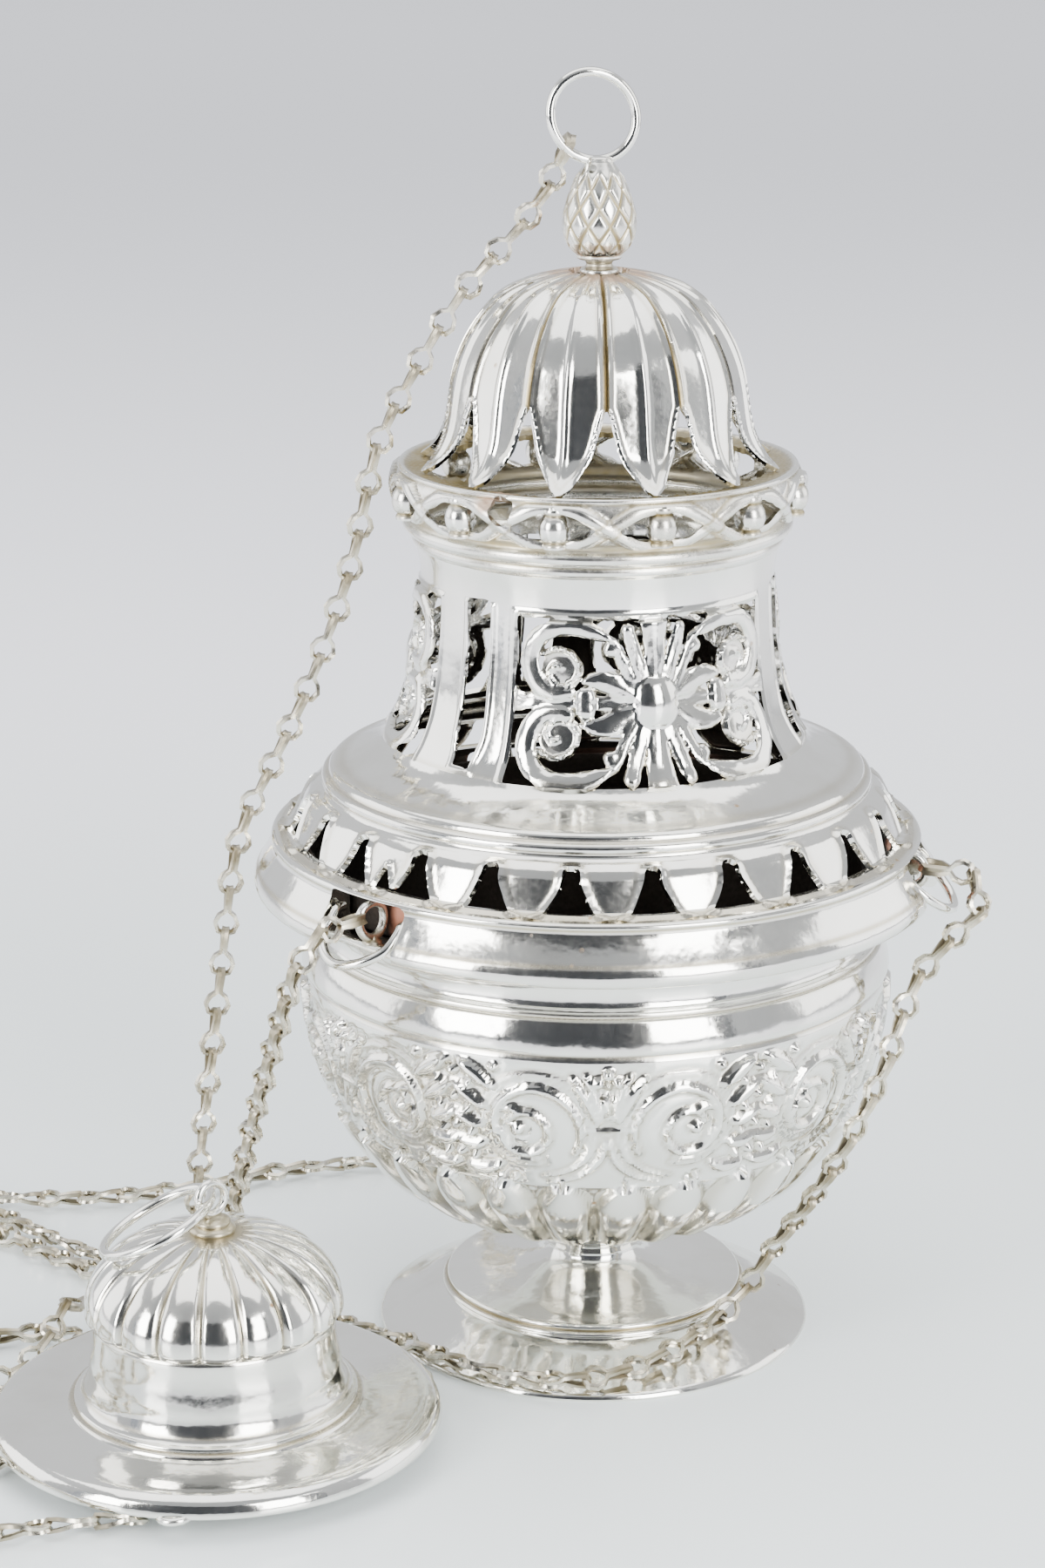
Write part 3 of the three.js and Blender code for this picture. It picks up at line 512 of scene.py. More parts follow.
def pierced(name, runs, columns, step, metal, relief):
    """A turned sheet with cut openings. metal gives how far inside the metal a point is, in mm, below 0 in an
    opening. Corners next to an opening move onto its edge, then the sheet gets its thickness."""
    line = profile(runs, step)
    along = distances(line)
    rows = round(along[-1] / step)
    piece, u, v = wrapped_grid(name, columns, rows)

    def section(s):
        return np.interp(s, along, line[:, 0]), np.interp(s, along, line[:, 1])

    def field(a, s):
        return metal(a, *section(s))

    azimuth, s = 360 * u, along[-1] * v
    cell = max(step, 2 * math.pi * float(section(s)[0].mean()) / columns)
    farthest = 0.62 * cell  # no corner moves past its neighbour
    loops = np.empty(len(piece.data.loops), np.int32)
    piece.data.loops.foreach_get("vertex_index", loops)
    loops = loops.reshape(-1, 4)
    kept = field(azimuth, s)[loops].mean(axis=1) > 0
    row = np.round(v * rows).astype(int)
    edge = cut_corners(u, row, loops[kept], loops[~kept])
    first_a, first_s = azimuth[edge], s[edge]
    radius = np.maximum(section(first_s)[0], 1)
    free = (row[edge] > 0) & (row[edge] < rows)
    moved = np.zeros((2, len(edge)))  # mm across and up from a corner's first place
    probe = 0.05  # mm over which the slope of the field is taken
    for _ in range(3):
        a, t = first_a + np.degrees(moved[0] / radius), first_s + moved[1]
        here = field(a, t)
        across = (field(a + np.degrees(probe / radius), t) - here) / probe
        upward = (field(a, t + probe) - here) / probe * free
        share = -here / np.maximum(across ** 2 + upward ** 2, 0.3)
        moved = np.clip(moved + share * np.array([across, upward]), -farthest, farthest)
    azimuth[edge], s[edge] = first_a + np.degrees(moved[0] / radius), first_s + moved[1]
    radius, height = section(s)
    raised, hollow = relief(azimuth, radius, height, field(azimuth, s))
    normals = section_normals(line)
    out, up = (np.interp(s, along, normals[:, k]) for k in (0, 1))
    set_corners(piece, around(azimuth, np.maximum(radius + raised * out, 0), height + raised * up) * MM)
    tint(piece, "hollow", hollow)
    mesh = bmesh.new()
    mesh.from_mesh(piece.data)
    bmesh.ops.delete(mesh, geom=[face for face, keep in zip(mesh.faces, kept) if not keep], context="FACES")
    mesh.to_mesh(piece.data)
    mesh.free()
    edit_all(piece, weld)
    piece.data.materials.append(None)
    piece.data.materials.append(None)
    apply_modifier(piece, "SOLIDIFY", thickness=sizes().sheet, offset=-1.0, material_offset=1,
                   use_even_offset=False)
    return piece


def wire(name, points, thickness, closed=False):
    """Round wire along a smooth line, in mm."""
    p = [tuple(q) for q in points]
    if closed:
        p = p[-3:] + p + p[:3]
    line = smooth_line(p, 0.8)
    if closed:  # from the first point round to the last place before it
        apart = np.linalg.norm(line - np.array(points[0]), axis=1)
        half = len(line) // 2
        line = line[int(np.argmin(apart[:half])):half + int(np.argmin(apart[half:]))]
    curve = bpy.data.curves.new(name, "CURVE")
    curve.dimensions = "3D"
    curve.bevel_depth = thickness / 2 * MM
    curve.bevel_resolution = 2
    curve.use_fill_caps = True
    spline = curve.splines.new("POLY")
    spline.points.add(len(line) - 1)
    spline.points.foreach_set("co", np.concatenate([line * MM, np.ones((len(line), 1))], axis=1).ravel())
    spline.use_cyclic_u = closed
    piece = bpy.data.objects.new(name, curve)
    bpy.context.scene.collection.objects.link(piece)
    select_only(piece)
    bpy.ops.object.convert(target="MESH")
    edit_all(piece, weld, outwards)
    return piece


def wire_ring(name, centre, across, up, radius, thickness, oval, seed):
    """A ring bent by hand from round wire, in the plane of two directions."""
    noise = np.random.RandomState(seed)
    phase = noise.uniform(0, 2 * math.pi, 3)
    t = np.linspace(0, 2 * math.pi, 24, endpoint=False)
    r = radius * (1 + oval * np.cos(2 * t + phase[0]) + 0.008 * np.cos(3 * t + phase[1]))
    across, up, centre = (np.asarray(x, float) for x in (across, up, centre))
    side = np.cross(across, up)
    points = centre + (r * np.cos(t))[:, None] * across + (r * np.sin(t))[:, None] * up \
        + (0.12 * np.cos(2 * t + phase[2]))[:, None] * side
    return wire(name, points, thickness, closed=True)


# Chains

LUG_AZIMUTHS = (-42, 78, 198)  # of the bowl's eyelets and the lid's notches
THIRD = 120  # degrees between two eyelets, notches or windows
CAP_CENTRE = (-75.3, -62.9)
LINK_LENGTH, LINK_WIDTH = 9.2, 5.4  # mm, what the scale of a drawn link is counted from

LID_ROUTE = [
    (-6.6, 0.2, 250.2), (-10.2, 0.5, 242), (-15.6, 0.7, 234.2), (-27, 1.2, 221.4), (-37.6, 1.7, 204),
    (-44.6, 2, 190.4), (-47.6, 2.1, 178), (-50.4, 2.3, 165), (-59.4, 2.8, 139.6), (-68.8, 3.2, 119.4),
    (-74.6, 3.4, 107.4), (-77, 3.5, 96), (-78.8, 3.6, 81), (-82.6, 3.8, 53), (-85.4, 4, 30), (-87.4, 4.8, 13),
    (-91.4, 7.6, 5.2), (-99, 13.4, 3), (-112, 21.6, 2.8), (-125, 33, 2.8), (-138, 44.6, 2.8), (-153, 51, 2.8),
    (-174, 51.5, 2.8), (-198, 42, 2.8), (-212, 18, 2.8), (-214.5, -14, 2.8), (-214, -48, 2.8),
    (-210, -80, 2.8), (-196, -100, 2.8), (-174, -106.5, 2.8), (-153, -103, 2.8), (-137, -94.5, 2.8),
    (-126, -87, 2.8), (-117, -82.4, 2.8), (-111.4, -75.4, 2.8), (-108.6, -68.6, 2.8),
]
LEFT_ROUTE = [
    (-47, -52.2, 105.7), (-50.8, -56.4, 106.3), (-55.6, -60.8, 103.4), (-58.6, -61.2, 97), (-60.6, -57.5, 90),
    (-63.9, -50, 78), (-67.4, -42, 65), (-71, -33, 51), (-74.4, -24, 36), (-78, -14, 20), (-82.6, -5, 8.6),
    (-89.4, -1.6, 3.4), (-99, 4, 2.8), (-111, 12.4, 2.8), (-125, 24.4, 2.8), (-138, 35.4, 2.8),
    (-148, 38.8, 2.8), (-153.9, 35.9, 2.8),
]
LEFT_COIL = (-174, 12)
LEFT_RETURN = [
    (-154.2, -11.6, 2.8), (-148.6, -18.8, 2.8), (-138, -23.4, 2.8), (-126, -22.6, 2.8), (-118.7, -20, 2.8),
    (-111, -21.6, 2.8), (-103, -28, 2.8), (-95, -35, 2.8), (-82, -42, 2.8), (-66, -46, 2.8), (-52, -47, 2.8),
    (-41.6, -45.8, 2.8),
]
RIGHT_ROUTE = [
    (68.62, -14.6, 105.6), (73.6, -15.7, 106.2), (79.4, -17.4, 102.8), (78.2, -19.4, 96.4),
    (70.8, -20.8, 90.4), (65, -21.4, 82), (60, -27.4, 68.4), (52.6, -31.9, 53.2), (45.2, -27.8, 38),
    (37.2, -20.6, 23), (32.2, -20, 13.8), (26.8, -25.4, 10.2), (20, -33.6, 8.6), (10.8, -42, 6.8),
    (-2, -46.4, 5.2), (-15.6, -44.4, 5), (-27, -38, 4.9), (-37.4, -29.4, 4.6), (-47, -19, 3.2),
    (-58, -12.6, 2.8), (-70, -9.8, 2.8), (-83, -10.4, 2.8), (-96, -11, 3.2), (-106, -14.6, 7.2),
    (-111, -22, 10.2), (-113.4, -30.2, 7.1), (-117, -37, 3.4), (-121.6, -43.6, 2.8), (-131, -46.6, 2.8),
    (-142, -43, 2.8), (-149.4, -41.9, 2.8), (-155.4, -45.6, 2.8),
]
RIGHT_COIL = (-174, -68)
RIGHT_RETURN = [
    (-148.2, -80.2, 2.8), (-142.4, -82.4, 2.8), (-137, -78.6, 2.8), (-134.6, -71, 2.8), (-131, -61.4, 2.8),
    (-124.8, -55, 2.8), (-117.6, -51.4, 2.8), (-113, -44.2, 2.8),
]
BACK_ROUTE = [
    (-21.68, 66.72, 105.6), (-23.2, 71.4, 106.1), (-24.8, 77.2, 103), (-25.6, 79.6, 97), (-26.4, 80.6, 86),
    (-27.4, 81.6, 64), (-28.6, 82.6, 42), (-30.2, 83.4, 22), (-34, 83.2, 8), (-42, 80.6, 3.2), (-54, 77, 2.8),
    (-74, 71, 2.8), (-86, 64, 2.8), (-99, 57.6, 2.8), (-114, 54, 2.8), (-128, 52.6, 2.8), (-140, 54, 2.8),
    (-152, 63, 2.8), (-164, 77, 2.8), (-180, 83, 2.8), (-198, 80, 2.8), (-208, 69, 2.8), (-211, 55, 2.8),
    (-217, 40, 2.8), (-222, 20, 2.8), (-223.5, -14, 2.8), (-223, -50, 2.8), (-219, -84, 2.8),
    (-203, -107.4, 2.8), (-178, -116, 2.8), (-155, -115, 2.8), (-135, -112.6, 2.8), (-112.6, -110, 2.8),
    (-100, -106, 2.8), (-92, -104.6, 2.8), (-84.6, -103.4, 2.8),
]


def coil_points(centre, leave, size=1.0):
    """The turns of a coil, wound once on the table and then up onto itself, left at an angle in degrees."""
    turns = [50, 80, 180, leave, leave + 70, leave + 110, leave + 170, leave + 290, leave + 328, leave + 360]
    radii = [31.2, 28.8, 27.6, 25.4, 24.7, 25.3, 27.0, 27.3, 28.6, 30.8]
    heights = [2.8, 2.8, 2.8, 2.8, 4.7, 6.8, 7.3, 7.3, 6.0, 2.8]
    angle = np.arange(62, leave + 352, 13.0)
    radius, height = size * np.interp(angle, turns, radii), np.interp(angle, turns, heights)
    a = np.radians(angle)
    x, y = centre[0] + radius * np.cos(a), centre[1] + radius * np.sin(a)
    return [tuple(q) for q in np.stack([x, y, height], 1)]


def link_section():
    """The corners of one link in mm, and its faces: a closed wire pinched and folded, its two eyes side by
    side. x runs along the chain from the fold, z through the eyes."""
    quarter = [(-1.25, 0.45, 0), (-0.5, 0.45, 1.15), (1.4, 0.43, 1.0), (4.1, 0.45, 0.5), (5.2, 1.65, 0.45),
               (6.9, 2.28, 0.45), (8.6, 1.62, 0.45), (LINK_LENGTH, 0, 0.45)]
    upper = quarter + [(x, -y, z) for x, y, z in quarter[-2::-1]]
    loop = np.array(upper + [(x, y, -z) for x, y, z in upper[-2:0:-1]])
    count = len(loop)
    ahead = np.roll(loop, -1, axis=0) - np.roll(loop, 1, axis=0)
    ahead /= np.linalg.norm(ahead, axis=1)[:, None]
    middle = loop - np.array([3.5, 0, 0])
    side = middle - (middle * ahead).sum(1)[:, None] * ahead
    for _ in range(3):  # evened out, so that the section doesn't twist between two corners
        side = side + np.roll(side, 1, axis=0) + np.roll(side, -1, axis=0)
        side -= (side * ahead).sum(1)[:, None] * ahead
        side /= np.maximum(np.linalg.norm(side, axis=1), 1e-9)[:, None]
    other = np.cross(ahead, side)
    sides = 4
    half = sizes().link_wire / MM / 2 * 1.12  # four sides look thinner than round wire
    turn = 2 * math.pi * np.arange(sides) / sides
    ring = loop[:, None] + half * (np.cos(turn)[None, :, None] * side[:, None]
                                   + np.sin(turn)[None, :, None] * other[:, None])
    faces = [(i * sides + k, i * sides + (k + 1) % sides, (i + 1) % count * sides + (k + 1) % sides,
              (i + 1) % count * sides + k) for i in range(count) for k in range(sides)]
    return ring.reshape(-1, 3), np.array(faces)[:, ::-1]


def laid_links(route, facing, seed):
    """The links along a route, as corners in mm, faces and the share of film. Their eyes look the way of
    facing where the chain hangs, and roll to either side where it lies on the table."""
    s = sizes()
    path = even_line(route, s.link_pitch / MM)
    link, faces = link_section()
    noise = np.random.RandomState(seed)
    corner_rows, face_rows = [], []
    up = np.array([0.0, 0.0, 1.0])
    facing = np.asarray(facing, float)
    lean = 0.0
    for i, (start, end) in enumerate(zip(path[:-1], path[1:])):
        ahead = end - start
        reach = np.linalg.norm(ahead)
        ahead = ahead / reach
        lies = 1 - float(ease(start[2], 5, 22))
        normal = facing * (1 - lies) + up * lies
        normal -= normal.dot(ahead) * ahead
        normal /= np.linalg.norm(normal)
        lean = 0.55 * lean + noise.uniform(-24, 24)
        roll = math.radians(lies * lean * 1.25 + (1 - lies) * lean * 0.55)
        across = np.cross(normal, ahead)
        normal, across = (normal * math.cos(roll) + across * math.sin(roll),
                          across * math.cos(roll) - normal * math.sin(roll))
        scale = noise.uniform(0.97, 1.03, 3)
        local = link * [reach / LINK_LENGTH, s.chain_width / MM / LINK_WIDTH * scale[1], scale[2]]
        if i == 0:  # the first fold goes round thicker wire
            local = local * np.where(local[:, :1] < 3, [[1.6, 1.3, 1.5]], [[1, 1, 1]])
        corner_rows.append(start + local @ np.stack([ahead, across, normal]))
        face_rows.append(faces + i * len(link))
    film = 0.8 * np.clip(1.1 - np.abs(link[:, 0] - 0.3) / 2.6, 0, 1)
    return np.concatenate(corner_rows), np.concatenate(face_rows), np.tile(film, len(corner_rows))


def chain(name, route, facing, seed, nodes, blend_from, blend_to):
    """One chain of folded links along its route, between the table and the lid."""
    co, faces, film = laid_links(route, facing, seed)
    mesh = bpy.data.meshes.new(name)
    mesh.from_pydata((co * MM).tolist(), [], faces.tolist())
    piece = bpy.data.objects.new(name, mesh)
    bpy.context.scene.collection.objects.link(piece)
    tint(piece, "hollow", film)
    piece.data.materials.append(finish(chain_silver))
    smooth(piece, 80)
    [c * MM for c in blend_from]
    [c * MM for c in blend_to]
    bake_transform(piece)
    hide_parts(*nodes)
    (even_line(route, 2.0) * MM).tolist()


class THURIBLE_OT_chains(bpy.types.Operator):
    """Four chains of folded links, from the lid's ring and the bowl's eyelets to the hand cap"""
    bl_idname = "thurible.chains"
    bl_label = "Chains"

    def execute(self, context):
        chain("links_of_lid_chain", LID_ROUTE, facing=(0.25, -0.97, 0), seed=3, nodes=["lid_chain"],
              blend_from=(0, 0, 15), blend_to=(0, 0, 100))
        left = LEFT_ROUTE + coil_points(LEFT_COIL, 310) + LEFT_RETURN
        chain("links_of_left_chain", left, facing=(-0.5, -0.86, 0), seed=5,
              nodes=["left_chain", "left_chain_coil", "left_chain_end"],
              blend_from=LEFT_ROUTE[0], blend_to=(-52, -62.1, 104.2))
        right = RIGHT_ROUTE + coil_points(RIGHT_COIL, 335, 0.9) + RIGHT_RETURN
        chain("links_of_right_chain", right, facing=(0.42, -0.9, 0), seed=7,
              nodes=["right_chain", "right_chain_coil", "right_chain_end"],
              blend_from=RIGHT_ROUTE[0], blend_to=(79.5, -16.9, 105.6))
        chain("links_of_back_chain", BACK_ROUTE, facing=(0, -1, 0), seed=11, nodes=["back_chain"],
              blend_from=BACK_ROUTE[0], blend_to=(-19.8, 76.4, 106.9))
        return {"FINISHED"}


# Camera, light and table

CAMERA_PLACE = (0, -0.73096, 0.33043)
CAMERA_TILT, CAMERA_TURN = 73.84, 1.2  # degrees
# Cards that only the silver sees: place and size in metres, and colour
CARDS = (
    ("dark_card_behind_camera", (-0.21, -1.25, 0.53), (1.46, 1.06), "15181d"),
    ("dark_stand_right", (0.92, -0.78, 0.5), (0.30, 1.0), "2c3036"),
    ("grey_stand_left", (-1.10, -0.50, 0.5), (0.26, 1.0), "6b7078"),
)
# Softboxes: place and size in metres, power in watts, and the place that they are aimed at
SOFTBOXES = (
    ("left_softbox", (-1.13, -1.0, 0.62), (0.60, 1.0), 33, (0, 0, 0.12)),
    ("right_softbox", (0.81, -1.12, 0.60), (0.80, 1.0), 40, (0, 0, 0.12)),
    ("far_softbox", (0, 3.6, 1.2), (4.0, 2.0), 16, (0, 3.6, 0)),
    ("left_wall_softbox", (-1.5, 0.35, 0.6), (1.2, 1.1), 12, (0, 0, 0.1)),
    ("right_wall_softbox", (1.5, 0.35, 0.6), (1.2, 1.1), 12, (0, 0, 0.1)),
    ("top_softbox", (0, 0.15, 1.5), (1.9, 1.5), 24, (0, 0, 0.1)),
)


class THURIBLE_OT_stage(bpy.types.Operator):
    """The camera, the pale table, the soft studio light and the dark card that the silver mirrors"""
    bl_idname = "thurible.stage"
    bl_label = "Stage"

    def execute(self, context):
        self.camera(context.scene)
        self.table()
        for name, place, size, hex_colour in CARDS:
            self.card(name, place, size, linear(hex_colour))
        for name, place, size, power, aim in SOFTBOXES:
            self.softbox(name, place, size, power, aim)
        context.scene.world = self.studio()
        return {"FINISHED"}

    def camera(self, scene):
        data = bpy.data.cameras.new("thurible_camera")
        data.lens, data.sensor_width, data.sensor_fit = 84.0, 36.0, "AUTO"
        data.clip_start, data.clip_end = 0.01, 20
        camera = bpy.data.objects.new("thurible_camera", data)
        camera.location = CAMERA_PLACE
        camera.rotation_euler = (math.radians(CAMERA_TILT), 0, math.radians(CAMERA_TURN))
        scene.collection.objects.link(camera)
        scene.camera = camera

    def studio(self):
        """A studio that is white behind the thurible and greyer behind the camera."""
        world = bpy.data.worlds.new("studio_white")
        world.use_nodes = True
        tree = world.node_tree
        direction = add_node(tree, "ShaderNodeTexCoord").outputs["Generated"]
        away = add_node(tree, "ShaderNodeSeparateXYZ", links={0: direction})
        share = add_node(tree, "ShaderNodeMapRange", {"From Min": -0.6, "From Max": 0.4},
                         {"Value": away.outputs["Y"]})
        shade = add_node(tree, "ShaderNodeMixRGB", {"Color1": linear("b3b6bb"), "Color2": linear("e6e8ed")},
                         {"Fac": share.outputs["Result"]})
        tree.links.new(shade.outputs[0], tree.nodes["Background"].inputs["Color"])
        tree.nodes["Background"].inputs["Strength"].default_value = 1.28
        return world

    def softbox(self, name, place, size, power, aim):
        data = bpy.data.lights.new(name, "AREA")
        data.shape, data.size, data.size_y, data.energy = "RECTANGLE", size[0], size[1], power
        light = bpy.data.objects.new(name, data)
        light.location = place
        away = np.array(place) - np.array(aim)
        level = math.hypot(away[0], away[1])
        light.rotation_euler = (math.atan2(level, away[2]), 0, math.atan2(away[0], -away[1]))
        light.visible_camera = False
        light.visible_glossy = name != "far_softbox"  # it only lights the table behind
        bpy.context.scene.collection.objects.link(light)

    def card(self, name, place, size, colour):
        select_only()
        bpy.ops.mesh.primitive_plane_add(size=1)
        card = bpy.context.object
        card.name = card.data.name = name
        co = corners(card)
        set_corners(card, np.stack([place[0] + co[:, 0] * size[0], place[1] + 0 * co[:, 0],
                                    place[2] + co[:, 1] * size[1]], axis=1))
        material, tree = new_material("matt_dark_cloth")
        shader = add_node(tree, "ShaderNodeBsdfPrincipled", {"Base Color": colour, "Roughness": 0.9})
        card.data.materials.append(close_material(material, tree, shader))
        card.visible_camera = card.visible_diffuse = card.visible_shadow = False

    def table(self):
        select_only()
        bpy.ops.mesh.primitive_circle_add(vertices=96, radius=9.0, fill_type="NGON", location=(0, 0, 0))
        table = bpy.context.object
        table.name = table.data.name = "pale_table"
        f = finishes()
        material, tree = new_material("pale_glossy_table")
        place = add_node(tree, "ShaderNodeTexCoord").outputs["Object"]
        far = add_node(tree, "ShaderNodeVectorMath", operation="LENGTH", links={0: place})
        share = add_node(tree, "ShaderNodeMapRange", {"From Min": 0.22, "From Max": 0.62},
                         {"Value": far.outputs["Value"]}, interpolation_type="SMOOTHSTEP")
        colour = add_node(tree, "ShaderNodeMixRGB", {"Color1": f.table, "Color2": f.far_table},
                          {"Fac": share.outputs[0]})
        # Orange-peel of a lacquered board, 3 to 4 mm across and too low to see except in reflections
        peel = add_node(tree, "ShaderNodeTexNoise", {"Scale": 300.0, "Detail": 2.0}, {"Vector": place})
        bump = add_node(tree, "ShaderNodeBump", {"Strength": 1.0, "Distance": 0.00001},
                        {"Height": peel.outputs["Fac"]})
        shader = add_node(tree, "ShaderNodeBsdfPrincipled", {"Roughness": 0.22, "Specular IOR Level": 0.35},
                          {"Base Color": colour.outputs[0], "Normal": bump.outputs[0]})
        table.data.materials.append(close_material(material, tree, shader))


# Foot

FOOT_RUNS = [
    [(0, 0.3), (43.4, 0.3), 6],
    [(43.4, 0.3), (44.4, 0.05), (45.8, 0.0)],
    [(45.8, 0), (46.1, 0.6), (45.7, 1.4)],
    [(45.7, 1.4), (43, 2.85), (39.6, 4.6), (36, 6.5), (33.4, 7.6), (32.3, 7.9)],
    [(32.3, 7.9), (32.5, 8.5), (32.0, 9.1), (31.4, 9.2), 0.3],
    [(31.4, 9.2), (31.5, 9.8), (31.0, 10.35), (30.3, 10.45), 0.3],
    [(30.3, 10.45), (27, 10.7), (21, 11.1), (16, 11.8), (12.6, 12.9), (10.4, 14.2), (9.1, 15.8), (8.9, 17.3),
     (9.6, 19), (11.2, 20.1)],
    [(11.2, 20.1), (12.1, 20.3), (12.3, 20.9), (11.6, 21.3), 0.3],
    [(11.6, 21.3), (0, 21.2), 6],
]


def foot_film(azimuth, radius, height, out):
    """No raised work on the foot, and film in its two lines."""
    ring = 0.75 * bell(height - 9.2, 0.35) * bell(radius - 31.4, 1.5)
    return 0 * radius, ring + 0.35 * bell(height - 20.4, 0.8)


class THURIBLE_OT_foot(bpy.types.Operator):
    """The spreading foot with its double-line ring and waisted stem"""
    bl_idname = "thurible.foot"
    bl_label = "Foot"

    def execute(self, context):
        foot = turned("turned_foot", FOOT_RUNS, columns=256, step=0.8, relief=foot_film)
        hand_over(foot, "base", [finish(polished_silver)],
                  ("foot_base", "foot_plate", "foot_spool"))
        return {"FINISHED"}


# Bowl

BOWL_RUNS = [
    [(0, 21.4), (11.5, 21.4), 5],
    [(11.5, 21.4), (16, 22.2), (22.5, 24.8), (29.5, 28.0), 1.5],
    [(29.5, 28.0), (36.0, 31.9), (42.0, 36.4), (47.0, 41.3), (51.6, 47.2), (55.2, 53.2), (57.9, 59.6),
     (59.7, 66.2), (60.6, 73), (60.9, 77), (60.8, 79.8), 0.68],
    [(60.8, 79.8), (60.4, 80.3), (60.4, 80.7)],
    [(60.4, 80.7), (61.2, 80.9), (61.6, 81.6), (61.5, 83.2), (61.1, 85.0), (60.5, 86.8), (60.1, 87.9), 0.7],
    [(60.1, 87.9), (59.6, 88.2), (59.7, 88.7)],
    [(59.7, 88.7), (59.3, 89.4), (58.7, 89.6)],
    [(58.7, 89.6), (58.3, 91.2), (58.5, 93.4), (59.7, 95.6), (62.2, 97.7), (65.6, 98.8), (66.5, 99.2)],
    [(66.5, 99.2), (66.6, 99.7), (66.2, 100.0), 0.4],
    [(66.2, 100.0), (60.1, 100.0), 3],
    [(60.1, 100.0), (58.2, 98.0), (56.8, 94), (57.0, 89.5), (59.2, 84.5), (59.0, 76), (57.6, 64), (53, 52),
     (45, 40.5), (34, 31.6), (20, 25.2), (8, 23.2), (0, 23.0), 8],
]
GADROON_FOOT, GADROON_TOP = 29.0, 51.0  # heights in mm
SCROLL_HEIGHT, SCROLL_RADIUS = 65, 61.0  # of the middle of the belly band, mm
SCROLL_AZIMUTH = 2.6


def scroll_strokes():
    """Half of one pair of C-scrolls, in mm across and up from the middle of the belly band: the scroll with
    its volute, the collar, the fan above it and the leaf and beads between two pairs."""
    turns = np.linspace(20, 575, 44)
    radius = np.interp(turns, [20, 200, 575], [2.3, 5.0, 10.4])
    middle = np.interp(turns, [20, 300, 575], [18.0, 16.2, 15.3])
    width = np.interp(turns, [20, 270, 480, 575], [0.65, 0.85, 1.1, 0.5])
    turn = np.radians(turns)
    scroll = list(zip(middle + radius * np.cos(turn), radius * np.sin(turn), width))
    # Fine lines that run beside the scroll's last turn
    lines = [([(m + (r + beside) * math.cos(t), (r + beside) * math.sin(t), 0.42)
               for t, r, m in zip(turn, radius, middle) if t > math.radians(240)], height)
             for beside, height in ((1.9, 0.5), (3.1, 0.4))]
    lobes = (0, 12.2, 1.25), (1.9, 10.5, 1.15), (0, 9.9, 0.8)
    beads = ((23.2, 12.6, 0.9), (28.6, 8.2, 0.85), (31.8, 10.9, 0.9), (28.9, 2.6, 0.85), (31.9, 5.0, 0.8),
             (28.7, -2.6, 0.85), (31.9, -1.4, 0.8), (28.6, -8.3, 0.85), (31.8, -7.6, 0.9), (20.4, -12.6, 0.8))
    return [
        (scroll, 1.0), *lines, ([(18.3, -0.2, 1.4)], 1.5),
        ([(17.2, 3.0, 0.5), (19.6, 4.2, 0.9), (21.8, 3.4, 0.4)], 0.9),
        ([(20.2, -4.2, 0.4), (21.6, -1.8, 0.9), (21.0, 0.8, 0.4)], 0.9),
        ([(2.0, 1.6, 0.5), (4.1, 6.4, 1.2), (7.2, 11.4, 0.5)], 1.2),
        ([(1.1, 2.2, 0.5), (2.5, 7.0, 1.0), (4.4, 12.0, 0.5)], 1.0),
        ([(0, 3.0, 0.6), (0, 6.0, 0.9), (0, 8.2, 0.5)], 1.0),
        *(([lobe], 1.4) for lobe in lobes),
        ([(-5.4, 0, 0.45), (5.4, 0, 0.45)], 0.7),
        ([(0.2, -2.6, 0.5), (1.8, -7.2, 0.9), (6.0, -11.2, 0.6), (12.5, -13.2, 0.4)], 0.8),
        ([(2.6, -2.4, 0.4), (4.4, -6.6, 0.7), (8.4, -10.0, 0.5), (14.0, -11.9, 0.3)], 0.7),
        ([(23.4, 8.2, 0.6), (26.6, 10.4, 1.8), (29.6, 12.6, 1.1), (30.8, 13.3, 0.4)], 1.3),
        ([(25.4, 3.8, 0.6), (28.2, 5.4, 1.6), (31.6, 8.0, 0.6)], 1.25),
        ([(26.4, -0.4, 0.6), (29.0, 0.1, 1.5), (31.8, 2.0, 0.6)], 1.2),
        ([(26.0, -4.6, 0.6), (28.8, -5.4, 1.5), (31.8, -4.2, 0.6)], 1.15),
        ([(23.0, -9.4, 0.6), (26.8, -11.2, 1.4), (30.8, -10.4, 0.6)], 1.1),
        *(([bead], 1.25) for bead in beads),
    ]


def gadroon_relief(azimuth, height):
    """Gadroons: egg-shaped lobes, widest near the top, drawn in below."""
    lobe = 2 * np.abs(azimuth * sizes().gadroons / 360 % 1 - 0.5)
    rise = np.clip((height - GADROON_FOOT) / (GADROON_TOP - GADROON_FOOT), 0, 1)
    width = np.where(rise > 0.66, half_round((rise - 0.66) / 0.34), 0.80 + 0.20 * rise / 0.66)
    width = np.maximum(width * 0.93, 1e-3)
    foot_fade = ease(height, 28.6, 33.0)
    swell = 0.75 + 0.45 * bell(rise - 0.62, 0.34)
    groove = bell((lobe / width - 1.02) * 3.2, 1.0) * foot_fade * (rise < 0.97)
    return 2.0 * half_round(lobe / width) * swell * foot_fade - 0.35 * groove, 0.42 * groove


